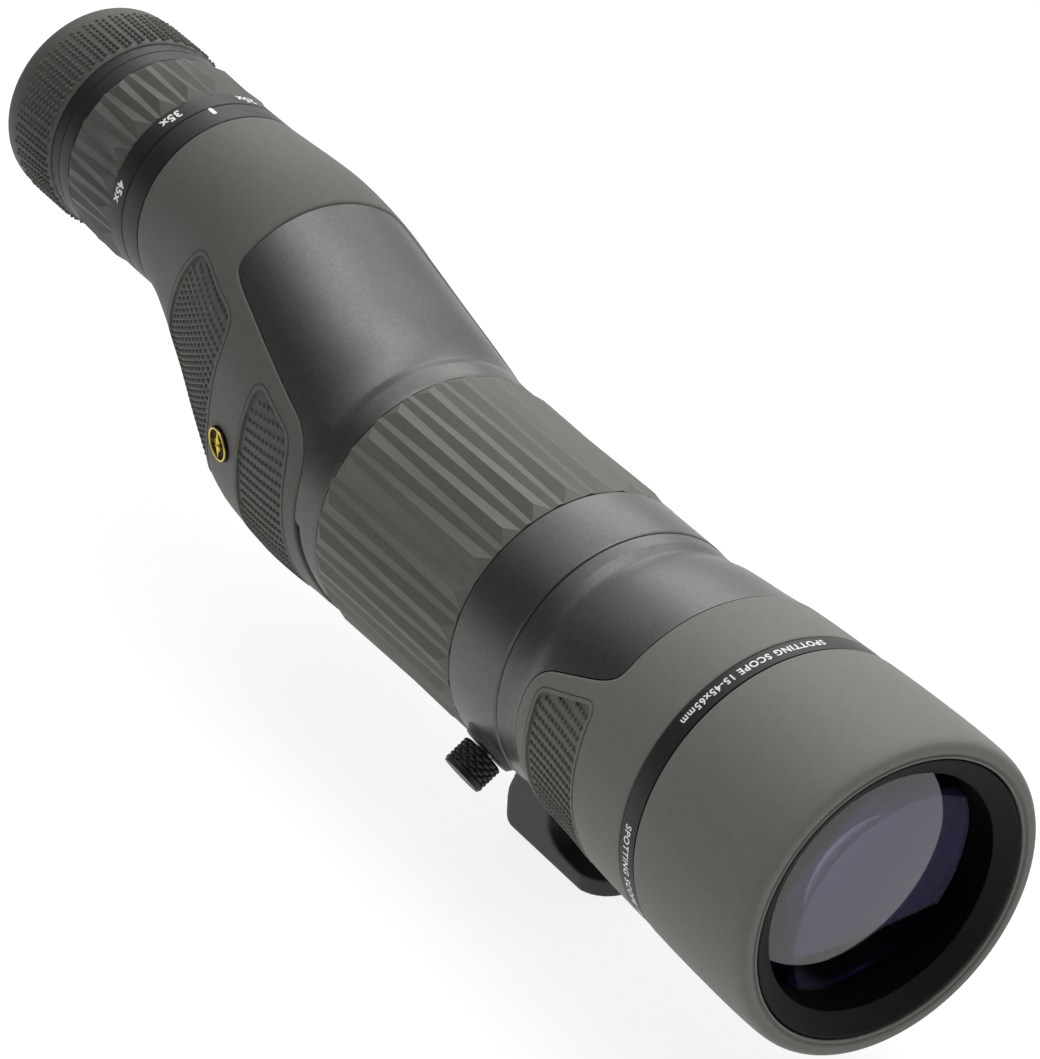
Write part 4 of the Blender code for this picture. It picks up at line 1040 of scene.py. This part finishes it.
def make_badge():
    """Round emblem with a plain four-pointed star."""
    centre = Vector(rear_point(-130.0, 94.0))
    ahead = Vector(rear_point(-126.0, 94.0)) - Vector(rear_point(-134.0, 94.0))
    above = Vector(rear_point(-130.0, 86.0)) - Vector(rear_point(-130.0, 102.0))
    outward = above.cross(ahead).normalized()
    if outward.y > 0.0:
        outward = -outward
    base = Matrix.Translation(centre + outward * 0.1) @ outward.to_track_quat(
        "Z", "Y").to_matrix().to_4x4()
    bm = bmesh.new()
    spin_solid(bm, [(-0.4, 5.0), (0.75, 5.0, 0.1), (0.75, 4.9, 0.05), (0.75, 4.86, 0.05),
                    (0.5, 4.84, 0.05)], base)
    store("badge_plate", bm, "matt", "scope_body", ["badge"])
    bm = bmesh.new()
    ring = soften([(0.5, 4.8, 0.05), (1.1, 4.75, 0.15), (1.1, 4.25, 0.15), (0.5, 4.2, 0.05)])
    ring_columns(bm, [[base @ round_point(r, k / 64, h) for h, r in ring] for k in range(64)])
    for k in range(8):
        turns = k / 8.0
        flare = 0.9 / math.tau
        reach = 4.3 if k % 2 == 0 else 2.3
        middle, left, tip, right, crest, edge = (
            bm.verts.new(base @ round_point(radius, angle, height)) for radius, angle, height in (
                (0.0, 0.0, 0.6), (0.75, turns + flare, 0.6), (reach, turns, 0.6),
                (0.75, turns - flare, 0.6), (0.0, 0.0, 1.25), (reach, turns, 0.85)))
        for corners in ((middle, left, tip, right), (crest, edge, left), (crest, right, edge),
                        (left, edge, tip), (right, tip, edge)):
            bm.faces.new(corners)
    store("badge_emblem", bm, "gold", "scope_body", sharp=15.0)


def dress_frame():
    """Procedural looks for the CAD nodes that stay as they are, by the name of their slot."""
    by_slot = {look.name.split(".")[0]: look for look in LOOKS.values()}
    by_slot["pale_nylon"] = LOOKS["nylon"]
    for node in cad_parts:
        piece = bpy.data.objects.get(node)
        if piece is None or piece.type != "MESH":
            continue
        for place in piece.material_slots:
            name = place.material.name.split(".")[0] if place.material else ""
            place.material = by_slot.get(name, place.material)


# ---- stage, light and camera

def make_stage():
    half = 6.0
    mesh = bpy.data.meshes.new("studio_floor")
    mesh.from_pydata([(-half, -half, 0.0), (half, -half, 0.0), (half, half, 0.0),
                      (-half, half, 0.0)], [], [(0, 1, 2, 3)])
    floor = bpy.data.objects.new("studio_floor", mesh)
    floor.location.z = -0.0004
    bpy.context.collection.objects.link(floor)
    look = bpy.data.materials.new("floor_paper")
    look.use_nodes = True
    shader = look.node_tree.nodes["Principled BSDF"]
    shader.inputs["Base Color"].default_value = (0.24, 0.24, 0.24, 1.0)
    shader.inputs["Emission Color"].default_value = (1.0, 1.0, 1.0, 1.0)
    shader.inputs["Emission Strength"].default_value = 0.85
    shader.inputs["Roughness"].default_value = 0.9
    shader.inputs["Specular IOR Level"].default_value = 0.1
    mesh.materials.append(look)


def area_light(name, place, target, size, power):
    data = bpy.data.lights.new(name, "AREA")
    data.shape = "RECTANGLE"
    data.size, data.size_y = size
    data.energy = power
    lamp = bpy.data.objects.new(name, data)
    lamp.location = place
    lamp.rotation_mode = "QUATERNION"
    lamp.rotation_quaternion = (Vector(target) - Vector(place)).to_track_quat("-Z", "Y")
    bpy.context.collection.objects.link(lamp)


def make_light():
    """Sky that is bright overhead and behind the object, and dark on the camera's side."""
    world = bpy.data.worlds.new("studio_air")
    world.use_nodes = True
    tree = world.node_tree
    background = tree.nodes["Background"]
    coord = tree.nodes.new("ShaderNodeTexCoord")
    towards = tree.nodes.new("ShaderNodeVectorMath")
    towards.operation = "DOT_PRODUCT"
    link(tree, coord.outputs["Generated"], towards.inputs[0])
    towards.inputs[1].default_value = Vector((-0.26, 0.55, 0.80)).normalized()
    strength = mapped(tree, towards.outputs["Value"], 0.04, 1.5, (0.40, 0.92))
    path = tree.nodes.new("ShaderNodeLightPath")
    choose = tree.nodes.new("ShaderNodeMix")
    link(tree, path.outputs["Is Camera Ray"], choose.inputs["Factor"])
    link(tree, strength, choose.inputs["A"])
    choose.inputs["B"].default_value = 1.0
    link(tree, choose.outputs["Result"], background.inputs["Strength"])
    background.inputs["Color"].default_value = (1.0, 1.0, 1.0, 1.0)
    bpy.context.scene.world = world
    middle = Vector((-0.07, 0.0, 0.07))
    ahead = middle + Vector((0.1, 0.0, 0.0))
    area_light("key", middle + Vector((-1.44, 1.16, 1.04)), middle, (1.3, 0.9), 8.8)
    area_light("roof", middle + Vector((-0.25, 0.22, 1.5)), middle, (0.9, 0.5), 4.0)
    area_light("front", middle + Vector((0.3, 0.4, 0.85)), ahead, (0.8, 0.6), 3.5)
    area_light("side", middle + Vector((0.1, -1.3, 0.3)), ahead, (0.9, 0.4), 2.0)


def make_camera():
    data = bpy.data.cameras.new("camera")
    data.sensor_fit = "HORIZONTAL"
    data.sensor_width = 36.0
    data.lens = 190.38
    data.shift_x, data.shift_y = -0.0091, -0.00099
    data.clip_start, data.clip_end = 0.05, 40.0
    right = Vector((0.55337, 0.83202, 0.03902))
    down = Vector((0.47799, -0.27884, -0.83293))
    forward = Vector((-0.68213, 0.47957, -0.552))
    turn = Matrix((right, -down, -forward)).transposed().to_4x4()
    camera = bpy.data.objects.new("camera", data)
    camera.matrix_world = Matrix.Translation((0.9112, -0.6678, 0.8440)) @ turn
    bpy.context.collection.objects.link(camera)
    bpy.context.scene.camera = camera


def build():
    bpy.context.scene.view_settings.view_transform = "Standard"
    make_camera()
    make_looks()
    dress_frame()
    make_front_body()
    make_rear_body()
    make_grips()
    make_objective_end()
    make_eyepiece()
    make_print()
    make_collar()
    make_knob()
    make_badge()
    make_stage()
    make_light()


build()
